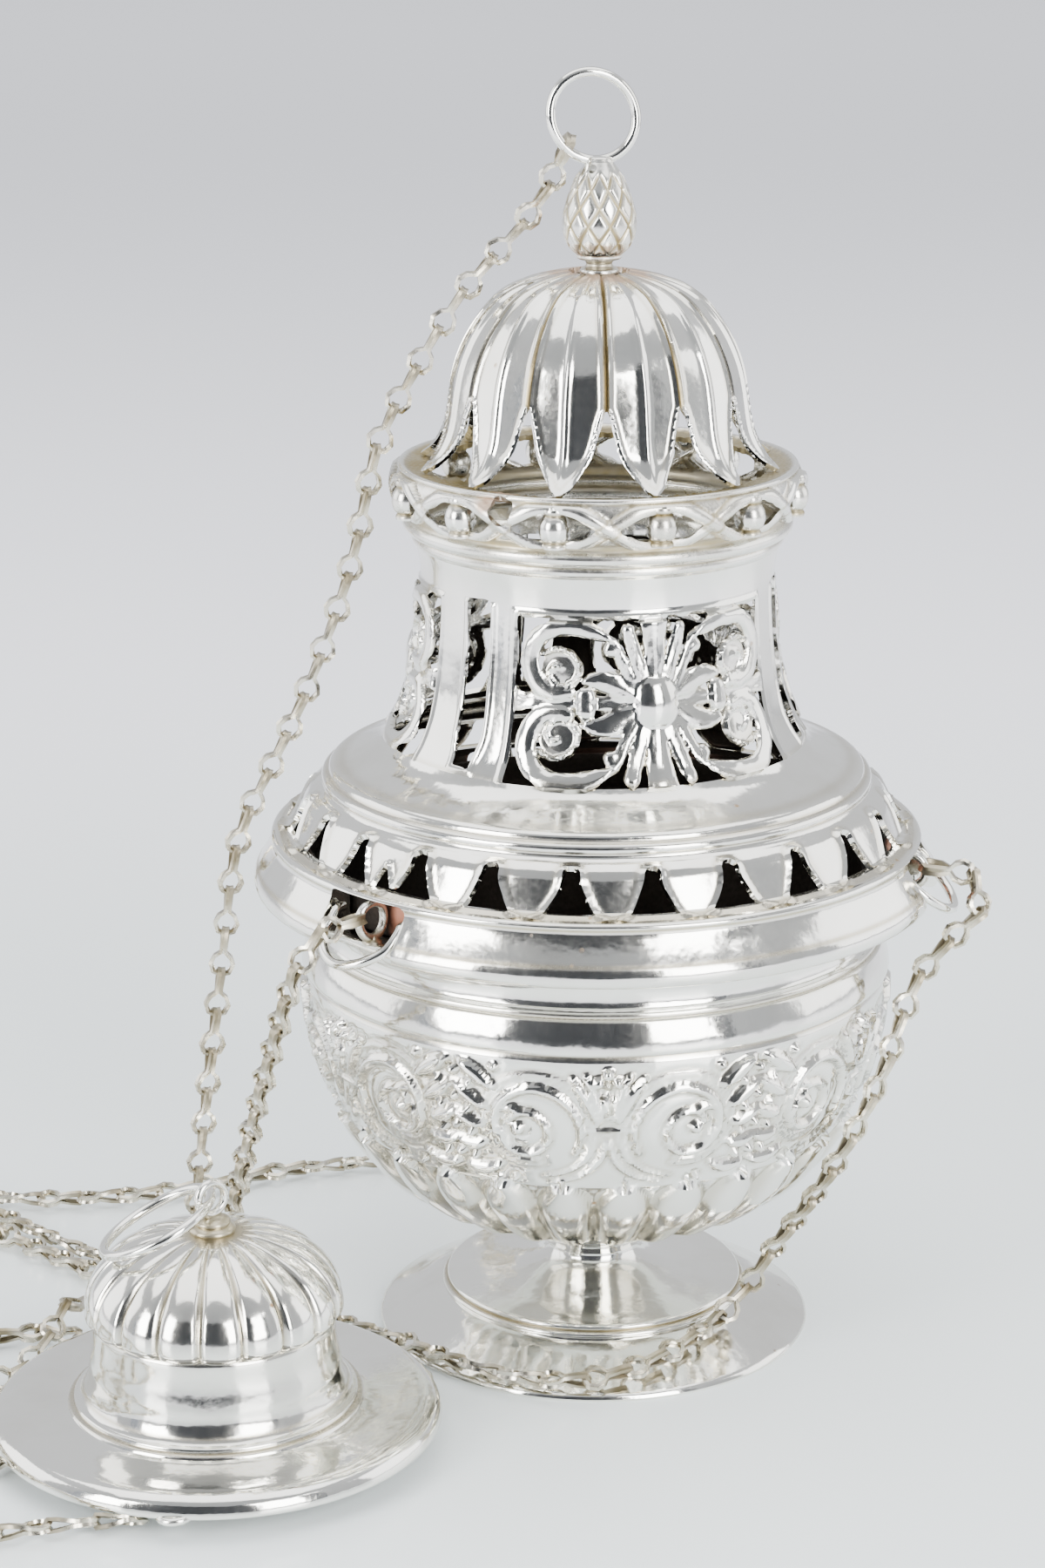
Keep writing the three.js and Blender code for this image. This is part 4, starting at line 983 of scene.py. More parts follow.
def scroll_relief(azimuth, height):
    """Pairs of scrolls round the belly band, with the ground between them beaten a little lower."""
    turn = off_nearest(azimuth, SCROLL_AZIMUTH, 360 / sizes().scrolls)
    across = np.abs(np.radians(turn)) * SCROLL_RADIUS
    inside, crown = nearest_stroke(across, height - SCROLL_HEIGHT, scroll_strokes())
    band = ease(height, 50.8, 52.4) * (1 - ease(height, 77.6, 79.0))
    ground = 0.25 * bell(inside + 0.5, 0.6)
    return (crown * 1.15 - ground) * band, 0.38 * bell(inside + 0.35, 0.45) * band


def bowl_relief(azimuth, radius, height, out):
    """Raised work of the bowl: gadroons below, scrolls and leaves round the belly."""
    outer = (out > -0.25) & (height < 80) & (radius > 29)
    raised, hollow = np.zeros((2, len(radius)))
    for work, here in ((gadroon_relief, outer & (height < 52.5)), (scroll_relief, outer & (height > 50.5))):
        lift, film = work(azimuth[here], height[here])
        raised[here] += lift
        hollow[here] += film
    border = bell(height - 50.9, 0.5) * outer
    lines = bell(height - 80.5, 0.45) + bell(height - 88.3, 0.5)
    return (raised + 0.25 * border) * sizes().chasing, np.clip(hollow + 0.6 * lines * (out > 0), 0, 1)


PAN_RUNS = [
    [(0, 66), (42, 66), 4],
    [(42, 66), (46.5, 67.6), (49.4, 71), (50, 74), 1.5],
    [(50, 74), (56.4, 91), 4],
    [(56.4, 91), (56.55, 100.3), 3],
    [(56.55, 100.3), (60.7, 100.3)],
    [(60.7, 100.3), (61, 100.8), (61, 107.9), (60.6, 108.5), 1.2],
    [(60.6, 108.5), (60.0, 108.2), (60.0, 101.4)],
    [(60.0, 101.4), (55.6, 101.3)],
    [(55.6, 101.3), (55.4, 91.4), (49, 74.6), (48.6, 72), (45.6, 68.6), (41.5, 67), 3],
    [(41.5, 67), (0, 67), 4],
]
EYELET_SEAT_RUNS = [
    [(0, 99.9), (2.0, 99.9)],
    [(2.0, 99.9), (1.9, 100.4), (1.35, 100.9), (1.05, 101.6)],
    [(1.05, 101.6), (0, 101.7)],
]
EYELET_RADIUS, EYELET_HEIGHT = 65.6, 104.7


def pan_wear(azimuth, radius, height, out):
    """The pan's hand-bent collar, and its soot: all over the hollow, and outside on the collar but for
    rubbed spots."""
    collar = (radius > 59) * (height > 100)
    rubbed = np.abs(off_nearest(azimuth, LUG_AZIMUTHS[0], THIRD) - 4.5)
    soot = np.maximum(1 - ease(out, 0.05, 0.5), 0.92 * collar * ease(rubbed, 1.6, 3.4))
    return 0.35 * np.sin(np.radians(azimuth * 5)) * bell(height - 104, 6) * (radius > 59), soot


class THURIBLE_OT_bowl(bpy.types.Operator):
    """The raised and chased bowl, the fire pan inside it and the eyelets on its rim"""
    bl_idname = "thurible.bowl"
    bl_label = "Bowl"

    def execute(self, context):
        bowl = turned("chased_bowl", BOWL_RUNS, columns=540, step=0.9, relief=bowl_relief)
        hand_over(bowl, "base", [finish(polished_silver)], ("bowl",), angle=60)
        pan = turned("copper_fire_pan", PAN_RUNS, columns=128, step=1.0, relief=pan_wear)
        hand_over(pan, "pan", [finish(worn_copper)], ("fire_pan",))
        for i, azimuth in enumerate(LUG_AZIMUTHS):
            outward, _ = directions(azimuth)
            eyelet = wire_ring(f"bowl_eyelet_ring_{i + 1}", around(azimuth, EYELET_RADIUS, EYELET_HEIGHT),
                               outward, (0, 0, 1), radius=3.5, thickness=1.9, oval=0.03, seed=20 + i)
            seat = turned(f"bowl_eyelet_seat_{i + 1}", EYELET_SEAT_RUNS, columns=20, step=0.4,
                          centre=around(azimuth, EYELET_RADIUS, 0)[:2])
            whole = joined(f"bowl_eyelet_on_seat_{i + 1}", [eyelet, seat])
            tint(whole, "hollow", 0.55 * bell(corners(whole)[:, 2] / MM - 101, 1.2))
            hand_over(whole, "base", [finish(cast_silver)], (f"bowl_eyelet_{i + 1}",), angle=60)
        return {"FINISHED"}


# Lid

FLANGE_RUNS = [
    [(62.6, 100.4), (66.9, 100.4), 2],
    [(66.9, 100.4), (67.1, 99.2), (67.5, 98.5)],
    [(67.5, 98.5), (68.6, 98.1), (69.8, 98.0), (70.7, 98.4), (71.2, 99.2), (71.35, 100.2), (71.2, 101.2),
     (70.9, 102.0), 0.4],
    [(70.9, 102.0), (70.2, 103.1), (69.1, 104.9), (68.1, 106.7), (67.5, 108.0), (67.5, 108.8), 0.6],
    [(67.5, 108.8), (67.6, 109.5), (67.0, 110.1), (66.2, 110.2), 0.35],
    [(66.2, 110.2), (65.4, 110.4), (64.4, 110.7), 0.5],
    [(64.4, 110.7), (62.6, 110.6), 1.5],
    [(62.6, 110.6), (62.6, 100.4), 3],
]
NOTCH_HALF = 10.2  # mm from the middle of a notch to its edge
NOTCH_RADIUS, NOTCH_DEPTH = 68.5, 16  # mm, where it goes through the flange and how far
NOTCH_MIDDLE, NOTCH_HEIGHT = 101.8, 15.6  # mm, how high its middle is and its own height


def flange_relief(azimuth, radius, height, out):
    """The turned-up edges of the notches, and film in the lines of the moulding."""
    notch = np.abs(np.radians(off_nearest(azimuth, LUG_AZIMUTHS[0], THIRD))) * radius - NOTCH_HALF
    fade = ease(height, 98.8, 100.5) * (1 - ease(height, 105.0, 107.5))
    edge = bell(notch - 0.4, 0.8) * (radius > 67) * fade
    lines = 0.6 * bell(height - 102.5, 0.45) * (radius > 69) + 0.7 * bell(height - 108.8, 0.35)
    ledge = 0.5 * ease(height, 110.1, 110.3) * (radius > 63.5)
    return 0.25 * edge, np.clip(lines + ledge, 0, 1)


def lid_flange():
    """The stepped flange, with a notch cut for each eyelet of the bowl."""
    flange = turned("notched_flange", FLANGE_RUNS, columns=360, step=0.8, relief=flange_relief)
    cutters = []
    for azimuth in LUG_AZIMUTHS:
        select_only()
        bpy.ops.mesh.primitive_cube_add(size=1)
        cutter = bpy.context.object
        outward, side = directions(azimuth)
        x, y, z = (column[:, None] for column in corners(cutter).T)
        co = (NOTCH_RADIUS + y * NOTCH_DEPTH) * outward + x * 2 * NOTCH_HALF * side
        co[:, 2:] = NOTCH_MIDDLE + z * NOTCH_HEIGHT
        set_corners(cutter, co * MM)
        edit_all(cutter, outwards, lambda: bpy.ops.mesh.bevel(offset=0.0014, segments=3, affect="EDGES"))
        cutters.append(cutter)
    cutter = joined("notch_cutter", cutters)
    apply_modifier(flange, "BOOLEAN", operation="DIFFERENCE", solver="EXACT", use_self=True, object=cutter)
    bpy.data.objects.remove(cutter)
    hand_over(flange, "lid", [finish(polished_silver)], ("lid_flange",), angle=34)


SHOULDER_RUNS = [
    [(66.0, 110.2), (65.2, 110.6), 0.5],
    [(65.2, 110.6), (63.9, 111.9), (61.4, 114.6), (58.7, 117.5), (57.0, 119.5), (56.6, 120.8)],
    [(56.6, 120.8), (57.0, 121.5), (56.7, 122.5), (55.5, 123.0), 0.35],
    [(55.5, 123.0), (55.4, 123.8), (54.6, 124.5), (53.2, 124.9), 0.35],
    [(53.2, 124.9), (50.4, 125.8), (47, 127.2), (44.6, 128.7), (43.3, 130.1)],
]
# Half width of a keyhole opening at heights above its sill along the slope, in mm
KEYHOLE = ((0, 5.3), (1.2, 4.5), (2.6, 3.6), (4.2, 2.75), (5.6, 2.15), (7.0, 1.8), (8.0, 1.7), (9.7, 0.0))
KEYHOLE_AZIMUTH, TORN_AZIMUTH = -4.5, -41.6
SILL, SLOPE = 111.0, 1.37  # height of the sills in mm, and mm along the shoulder for each mm of height
SOLID = 9.0  # mm inside the metal, said of places far from any opening
LIP_START, LIP_WIDTH = KEYHOLE[0][1], 2.9  # mm


def hand_cut(azimuth, height):
    """The slight unevenness of an edge cut by hand, in mm."""
    return (0.13 * np.sin(np.radians(37 * azimuth) + 0.6 * height)
            + 0.06 * np.sin(np.radians(71 * azimuth) - 1.1 * height))


def keyhole(azimuth, radius, height):
    """How far inside the metal round the keyholes a point is, in mm, and how far it is from the lips that run
    on to the tip of a tongue."""
    up = (height - SILL) * SLOPE
    turn = off_nearest(azimuth, KEYHOLE_AZIMUTH, 360 / sizes().tongues)
    across = np.abs(np.radians(turn)) * radius
    width = np.interp(up, *zip(*KEYHOLE))
    cap = np.hypot(across, np.maximum(up - 8.0, 0)) - 1.7
    metal = np.where(up > 8.0, cap, (across - width) * 0.86) + hand_cut(azimuth, height)
    metal = np.where(up < 1.0, np.maximum(metal, -up), metal)
    # A small torn opening beside the keyhole at the left, where the sheet has given way
    torn = np.abs(np.radians(off_nearest(azimuth, TORN_AZIMUTH))) * radius
    small = np.maximum((torn - np.interp(up, [0, 5.6], [3.1, 0.0])) * 0.86, -up)
    t = np.clip((across - LIP_START) / LIP_WIDTH, 0, 1)
    lip = np.hypot(across - LIP_START - LIP_WIDTH * t, up + 1.1 * t)
    return np.minimum(metal, np.where(up < 6, small, SOLID)), lip


def lid_shoulder():
    """The sloping shoulder, pierced so that a ring of tongues is left."""
    def metal(a, r, z):
        return np.where(z > 120.6, SOLID, keyhole(a, r, z)[0])

    def relief(a, r, z, inside):
        cut, tip = keyhole(a, r, z)
        slope = ease(z, 110.9, 112.0) * (1 - ease(z, 119.2, 120.6))
        lip = np.maximum(0.6 * bell(cut - 0.15, 0.6) * slope, 0.8 * bell(tip, 0.7) * (z < 111.8))
        # A tongue stands steeper than the slope that it is cut in, and turns in above
        body = np.interp(z, [110.9, 111.8, 116.4, 117.6, 118.9, 120.4], [0, -0.75, 1.3, 1.5, 1.1, 0])
        ledges = bell(z - 120.9, 0.35) + bell(z - 123.0, 0.35) + 0.6 * bell(z - 125.0, 0.4)
        sill = 0.5 * (1 - ease(z, 110.9, 111.5))
        film = 0.55 * ledges + 0.3 * bell(cut - 1.3, 0.5) * slope + sill
        return lip + body - 0.25 * slope, np.clip(film, 0, 1)

    shoulder = pierced("tongue_shoulder", SHOULDER_RUNS, columns=640, step=0.52, metal=metal, relief=relief)
    hand_over(shoulder, "lid", [finish(polished_silver), finish(smoked_silver_with_painted_shade)],
              ("lid_shoulder",), angle=50)


DRUM_RUNS = [
    [(43.3, 129.9), (42.9, 130.6), 0.4],
    [(42.9, 130.6), (41.2, 133.2), (39.3, 137.6), (37.8, 143.6), (36.9, 150), (36.3, 157), (36.1, 163.6),
     (36.4, 167.4), (37.0, 170.6)],
]
WINDOW = (28.5, 16.5)  # half width and half height of a drum window, mm
WINDOW_AZIMUTH, WINDOW_HEIGHT = 17.6, 145.9  # of the middle of the first window
SLOT_AZIMUTH = -40
DRUM_RADIUS = 38.0  # mm, that places across a window or slot are measured on


def window_strokes():
    """A quarter of a drum window's pierced flower and scrolls, in mm across and up from its middle."""
    return [
        ([(0, 0, 4.6)], 0), ([(0, 1.2, 4.4)], 0),
        ([(0, 4.6, 2.0), (0, 10, 2.2), (0, 17, 3.0)], 1.5),
        ([(2.4, 4.8, 1.3), (4.1, 10, 1.5), (5.3, 14.4, 1.4)], 1.3),
        ([(4.2, 3.6, 1.2), (6.0, 7.0, 1.2), (7.4, 10.2, 1.2), (8.4, 12.2, 1.0)], 1.1),
        ([(8.9, 10.6, 1.5)], 1.3),
        ([(4.0, 1.4, 1.4), (6.4, 2.9, 2.1), (9.6, 4.3, 2.2), (12.8, 4.6, 1.3), (14.6, 4.2, 0.3)], 1.2),
        ([(3.8, 0, 1.7), (9.0, 0, 1.5), (12.5, 0, 1.3)], 0.7),
        ([(13.8, 0, 2.3), (13.8, 1.5, 2.0)], 1.9),
        ([(13.8, 0, 1.0), (21, 0, 1.2), (29, 0, 2.2)], 0.8),
        ([(18.6, 6.4, 4.2)], 0.6),
        ([(22.6, 9.5, 0.5), (20, 10.9, 0.5), (16.9, 10, 0.5), (15.1, 7, 0.5), (16.6, 4, 0.5),
          (19.4, 3.4, 0.5), (21.2, 5.6, 0.5), (20, 7.6, 0.5), (18.6, 7.1, 0.45)], 2.0),
        ([(17.0, 2.2, 1.2), (20, 1.9, 1.5), (23.4, 3.4, 1.9), (25.2, 7.2, 2.0), (24.4, 11.7, 1.9),
          (20.7, 14.6, 1.8), (16, 15, 1.7), (11.5, 13.9, 1.4), (8.8, 12.8, 0.7)], 1.4),
    ]


def window_place(azimuth):
    """Millimetres across from the middle of the nearest window."""
    return np.radians(off_nearest(azimuth, WINDOW_AZIMUTH, THIRD)) * DRUM_RADIUS


def slot_edge(azimuth, height):
    """Millimetres outside the nearest of the tall slots between two windows, narrower at the bottom."""
    across = np.abs(np.radians(off_nearest(azimuth, SLOT_AZIMUTH, THIRD))) * DRUM_RADIUS
    edge = across - 1.9 - 1.2 * ease(height, 131, 138)
    return np.maximum(edge, np.maximum(131.4 - height, height - 164.6))


def lid_drum():
    """The waisted drum, with three windows of scrolls and a tall slot between them."""
    half_wide, half_high = WINDOW
    memory = {}

    def window(a, z):
        key = (len(a), float(a[:50].sum()), float(z[-50:].sum()), float(a.sum()))
        if key not in memory:
            across, up = window_place(a), z - WINDOW_HEIGHT
            frame_edge = np.maximum(np.abs(across) - half_wide, np.abs(up) - half_high)
            inside, crown = nearest_stroke(np.abs(across), np.abs(up), window_strokes())
            memory[key] = across, up, frame_edge, inside, crown
        return memory[key]

    def metal(a, r, z):
        _, _, frame_edge, inside, _ = window(a, z)
        return np.minimum(np.maximum(frame_edge, inside), slot_edge(a, z)) + hand_cut(a, z)

    def relief(a, r, z, inside_metal):
        across, up, frame_edge, _, crown = window(a, z)
        in_window = 1 - ease(frame_edge, -0.6, 0.2)
        boss = 2.9 * np.sqrt(np.clip(1 - (across / 4.6) ** 2 - (up / 5.8) ** 2, 0, 1))
        seam = 0.45 * bell(inside_metal, 0.7)
        height = in_window * (np.maximum(crown, boss) + 0.15) + seam * (in_window > 0.5)
        rim = 0.5 * bell(frame_edge - 0.8, 0.5) + 0.4 * bell(slot_edge(a, z) - 0.5, 0.6) * (z < 164)
        ground = in_window * np.clip(1 - np.maximum(crown, boss) / 0.7, 0, 1)
        return height + rim, np.clip(0.45 * ground + 0.3 * bell(z - 130.4, 0.5), 0, 1)

    drum = pierced("pierced_drum", DRUM_RUNS, columns=560, step=0.46, metal=metal, relief=relief)
    hand_over(drum, "lid", [finish(polished_silver), finish(smoked_silver_with_painted_shade)], ("lid_drum",),
              angle=55)


GALLERY_RUNS = [
    [(36.6, 170.3), (37.2, 170.7), (37.9, 171.5), (38.0, 172.4), (37.7, 173.0), 0.4],
    [(37.7, 173.0), (38.9, 173.4), (39.7, 174.3), (39.7, 175.5), (38.8, 176.4), 0.4],
    [(38.8, 176.4), (38.8, 177.2), (39.6, 178.6), (40.4, 180.4), (40.9, 182.4), (40.8, 184.4), (40.3, 186.0)],
    [(40.3, 186.0), (40.7, 186.5), (40.5, 187.1), (39.8, 187.2), 0.3],
    [(39.8, 187.2), (38.6, 186.5), (36.6, 186.3), (34.6, 186.2)],
]
FRONT_AZIMUTH = -12  # of the front cell of the gallery and the front leaf of the dome
LOST_AZIMUTH = -27
CELL_RADIUS, CELL_HEIGHT = 40.5, 181.4  # mm, of the middle of a cell
GALLERY_BEAD_RUNS = [
    [(0, 177.4), (2.3, 177.4)],
    [(2.3, 177.4), (2.4, 178.0), (2.0, 178.6)],
    [(2.0, 178.6), (2.6, 179.2), (3.05, 180.4), (3.15, 181.5), (2.85, 182.8), (2.3, 183.6), (2.0, 183.9)],
    [(2.0, 183.9), (2.4, 184.5), (2.3, 185.2)],
    [(2.3, 185.2), (0, 185.2)],
]


def lid_gallery():
    """The gallery of interlaced ribbon, and the shelf that the leaves stand on."""
    pitch = 360 / sizes().cells

    def place(a, z):
        side = np.floor((a - FRONT_AZIMUTH + pitch / 2) / pitch) % 2 * 2 - 1
        return np.radians(off_nearest(a, FRONT_AZIMUTH, pitch)) * CELL_RADIUS, z - CELL_HEIGHT, side

    def metal(a, r, z):
        across, up, _ = place(a, z)
        lens = 2.85 * np.clip(1 - (across / 8.6) ** 2, -1, 1) - np.abs(up)
        # The cell at the left has lost part of its ribbon
        lost = np.abs(np.radians(off_nearest(a, LOST_AZIMUTH))) * CELL_RADIUS
        gap = np.maximum(lens, 2.3 - np.hypot(lost - 0.2, (up - 3.0) * 0.9))
        return np.where(r < 39.9, SOLID, -gap * 0.9 + hand_cut(a, z))

    def relief(a, r, z, inside):
        across, up, side = place(a, z)
        wave = 4.25 * np.cos(np.pi * across / 21.2) * side
        over = np.where(side * across > 0, 1.0, 0.7)
        ribbon = 1.5 * half_round((up - wave) / 1.6) * over
        under = 1.5 * half_round((up + wave) / 1.6) * (1.7 - over)
        wall = ease(z, 176.9, 177.6) * (1 - ease(z, 185.4, 186.0)) * (r > 39.2)
        height = np.maximum(ribbon, under) * wall
        edge = np.minimum(np.abs(np.abs(up - wave) - 1.7), np.abs(np.abs(up + wave) - 1.7))
        shelf = ease(-r, -39.9, -39.0) * (z > 185)
        hammered = 0.16 * np.sin(np.radians(84 * a) + 2.1 * r) * np.sin(np.radians(30 * a) - 3.0 * r) * shelf
        dark = 0.6 * bell(edge, 0.3) * wall + 0.45 * bell(z - 173.0, 0.35) + 0.75 * bell(z - 177.0, 0.9) \
            + 0.7 * shelf + 0.35 * bell(z - 186, 0.4)
        return height + hammered + 0.2 * wall, np.clip(dark, 0, 0.85)

    gallery = pierced("bead_gallery", GALLERY_RUNS, columns=576, step=0.46, metal=metal, relief=relief)
    co = corners(gallery) / MM
    azimuth = np.degrees(np.arctan2(co[:, 0], -co[:, 1]))
    tint(gallery, "solder", bell(azimuth + 31, 6.5) * bell(co[:, 2] - 185.5, 3.2))
    # The shelf takes the inside's soot colour wherever the leaves cover it: soot, and painted shade under the
    # leaves
    out = np.hypot(co[:, 0], co[:, 1])
    for face in gallery.data.polygons:
        if all(co[i, 2] > 185.5 and out[i] < 37.3 for i in face.vertices):
            face.material_index = 1
    hand_over(gallery, "lid", [finish(cast_silver), finish(sooted_silver_with_painted_shade)], ("lid_gallery",),
              angle=50)


def gallery_beads():
    """One turned bead between two collars, copied into each cell a little higher or lower."""
    first = turned("gallery_bead", GALLERY_BEAD_RUNS, columns=20, step=0.55,
                   centre=around(FRONT_AZIMUTH, 40.1, 0)[:2])
    beads = [first]
    base = corners(first)
    noise = np.random.RandomState(4)
    for i in range(1, sizes().cells):
        bead = first.copy()
        bead.data = first.data.copy()
        bpy.context.scene.collection.objects.link(bead)
        a = math.radians(360 / sizes().cells * i)
        turn = np.array([[math.cos(a), -math.sin(a), 0], [math.sin(a), math.cos(a), 0], [0, 0, 1]])
        set_corners(bead, base @ turn.T + [0, 0, noise.uniform(-0.25, 0.25) * MM])
        beads.append(bead)
    whole = joined("gallery_beads", beads)
    up = corners(whole)[:, 2] / MM
    tint(whole, "hollow", 0.7 * bell(up - 178.5, 0.6) + 0.7 * bell(up - 184.1, 0.6))
    hand_over(whole, "lid", [finish(cast_silver)], (), angle=50)


DOME_RUNS = [
    [(37.3, 187.2), (36.4, 187.9), (34.6, 189.3), (33.0, 191.2), (31.7, 193.8), (31.0, 196.4), (30.5, 199.6),
     (30.0, 203), (29.1, 207), (27.7, 210.8), (25.8, 214.4), (23.5, 217.6), (20.7, 220.5), (17.2, 222.7),
     (13.4, 224.2), (9.6, 225.2), (6.2, 225.8)],
]
# Half width of a leaf at heights up the dome, in mm
LEAF_HALF_WIDTHS = ((187.0, 0.3), (188.4, 2.1), (190.7, 3.9), (192.4, 4.9), (193.8, 5.6), (196.0, 6.2),
                    (199.0, 6.8), (201.5, 7.4), (203.0, 7.9), (204.0, 9.5))


def leaf_place(azimuth, radius, height):
    """Millimetres across from the middle of the nearest leaf, to the leaf's edge and to the seam."""
    pitch = 360 / sizes().leaves
    across = np.abs(np.radians(off_nearest(azimuth, FRONT_AZIMUTH, pitch))) * radius
    return across, np.interp(height, *zip(*LEAF_HALF_WIDTHS)), np.radians(pitch / 2) * radius


def leaf_dome():
    """The dome of leaves, open below between their tips."""
    def metal(a, r, z):
        across, width, _ = leaf_place(a, r, z)
        return np.where(z > 204, SOLID, (width - across) * 0.9 + 0.7 * hand_cut(a, z))

    def relief(a, r, z, inside):
        across, width, seam = leaf_place(a, r, z)
        edge = np.minimum(width, seam)
        size = np.clip(edge / 7.5, 0, 1)
        # Each half of a leaf is nearly flat, and the front leaf was beaten flatter than the others
        half = np.clip(across / np.maximum(edge, 0.5), 0, 1)
        spread = np.where(np.abs(off_nearest(a, FRONT_AZIMUTH)) < 15, 0.45, -0.18)
        belly = (spread * half - 0.58 * half * (1 - half)) * size
        ridge = 0.5 * bell(across, 0.75) * np.clip(size * 1.6, 0, 1)
        bead = 0.55 * bell(edge - across - 0.7, 0.45) * np.clip(size * 2, 0, 1)
        groove = bell(seam - across, 0.34) * (z > 200)
        worn = 1 - 0.5 * ease(z, 222, 226)
        height = (belly + ridge + bead) * worn - 0.7 * groove * np.clip(size * 2, 0, 1) - 0.3
        hollow = 0.95 * bell(seam - across, 0.5) * (z > 199) + 0.3 * bell(edge - across - 1.6, 0.35)
        return height, np.clip(hollow, 0, 1)

    dome = pierced("leaf_dome_sheet", DOME_RUNS, columns=432, step=0.5, metal=metal, relief=relief)
    tint(dome, "solder", ease(corners(dome)[:, 2] / MM, 222.6, 225.6))
    hand_over(dome, "lid", [finish(polished_silver), finish(sooted_silver_with_painted_shade)], ("leaf_dome",),
              angle=60)


FINIAL_RUNS = [
    [(0, 225.0), (3.9, 225.1), 1.2],
    [(3.9, 225.1), (3.8, 225.8), (2.9, 226.4), (2.6, 226.9), (2.9, 227.5), (4.1, 227.9), 0.3],
    [(4.1, 227.9), (4.6, 228.2), (4.7, 228.8), (5.6, 229.8), (6.7, 231.8), (7.3, 234.5), (7.2, 236.6),
     (6.6, 239.0), (5.6, 242.0), (4.3, 244.8), (3.1, 246.6), (2.6, 247.3), 0.3],
    [(2.6, 247.3), (2.3, 248.0), (1.2, 248.2), (0, 248.2), 0.4],
]
FINIAL_HOLE_AZIMUTH, FINIAL_HOLE_HEIGHT, FINIAL_HOLE_RADIUS = -24, 246.0, 0.85


def cone_scales(azimuth, radius, height, out):
    """Lines that cross round the finial like the scales of a cone, and film in them."""
    one = azimuth / 360 * 10 + (height - 228) / 7.0
    two = azimuth / 360 * 10 - (height - 228) / 7.0
    line = np.maximum(bell((one % 1) - 0.5, 0.11), bell((two % 1) - 0.5, 0.11))
    on = ease(height, 229.0, 230.4) * (1 - ease(height, 244.0, 245.8)) * (out > 0.2)
    return (-0.55 * line + 0.2) * on, np.clip(0.85 * line * on + 0.6 * bell(height - 227.2, 0.9), 0, 1)


def finial():
    """The cast cone on its collar, drilled for the ring."""
    cone = turned("scaled_finial", FINIAL_RUNS, columns=220, step=0.5, relief=cone_scales)
    select_only()
    bpy.ops.mesh.primitive_cylinder_add(vertices=20, radius=FINIAL_HOLE_RADIUS * MM, depth=14 * MM)
    drill = bpy.context.object
    co = corners(drill)
    along, side = directions(FINIAL_HOLE_AZIMUTH)
    set_corners(drill, co[:, 2:3] * along + co[:, 0:1] * side + co[:, 1:2] * [0, 0, 1]
                + np.array([0, 0, FINIAL_HOLE_HEIGHT * MM]))
    apply_modifier(cone, "BOOLEAN", operation="DIFFERENCE", solver="EXACT", object=drill)
    bpy.data.objects.remove(drill)
    hand_over(cone, "lid", [finish(cast_silver)], ("finial", "finial_collar"), angle=55)


def finial_ring():
    """The ring through the finial, where the lid's chain starts."""
    t = np.linspace(0, 2 * math.pi, 24, endpoint=False)
    bent = 8.55 + 0.4 * np.cos(2 * (t - 2.2))  # longest from upper left to lower right
    places = [-1.3 + bent * np.cos(t), 0.2 * bent * np.cos(t) + 0.2 * np.sin(3 * t), 256.0 + bent * np.sin(t)]
    ring = wire("finial_suspension_ring", np.stack(places, 1), 2.05, closed=True)
    hand_over(ring, "lid", [finish(polished_silver)], ("finial_ring",), angle=60)


LOOP_HALF, LOOP_REACH = 9.0, 12.0  # mm
LOOP_DROOP = math.radians(40)
LOOP_ROOT_RADIUS, LOOP_ROOT_HEIGHT = 66.1, 105.45


def guide_loops():
    """Drooping loops of wire in the notches, which the chains run through."""
    half, reach = LOOP_HALF, LOOP_REACH
    line = [(-half, -1.5), (-half, 0), (-half + 0.1, reach * 0.22), (-half + 0.6, reach * 0.5),
            (-half * 0.58, reach * 0.84), (0, reach), (half * 0.58, reach * 0.84), (half - 0.6, reach * 0.5),
            (half - 0.1, reach * 0.22), (half, 0), (half, -1.5)]
    for i, azimuth in enumerate(LUG_AZIMUTHS):
        noise = np.random.RandomState(30 + i)
        outward, side = directions(azimuth)
        points = []
        for x, out in line:
            wobble = noise.uniform(-0.25, 0.25, 3) * (out > 1)
            far = out * math.cos(LOOP_DROOP) if out > 0 else out
            height = LOOP_ROOT_HEIGHT - max(out, 0) * math.sin(LOOP_DROOP)
            points.append(outward * (LOOP_ROOT_RADIUS + far) + side * x + [0, 0, height] + wobble)
        loop = wire(f"guide_loop_wire_{i + 1}", points, 2.0)
        hand_over(loop, "lid", [finish(polished_silver)], (f"guide_loop_{i + 1}",), angle=60)


class THURIBLE_OT_lid(bpy.types.Operator):
    """The lid: notched flange, tongues, pierced drum, gallery, leaf dome, finial, ring and guide loops"""
    bl_idname = "thurible.lid"
    bl_label = "Lid"

    def execute(self, context):
        lid_flange()
        lid_shoulder()
        lid_drum()
        lid_gallery()
        gallery_beads()
        leaf_dome()
        finial()
        finial_ring()
        guide_loops()
        return {"FINISHED"}


# Hand cap

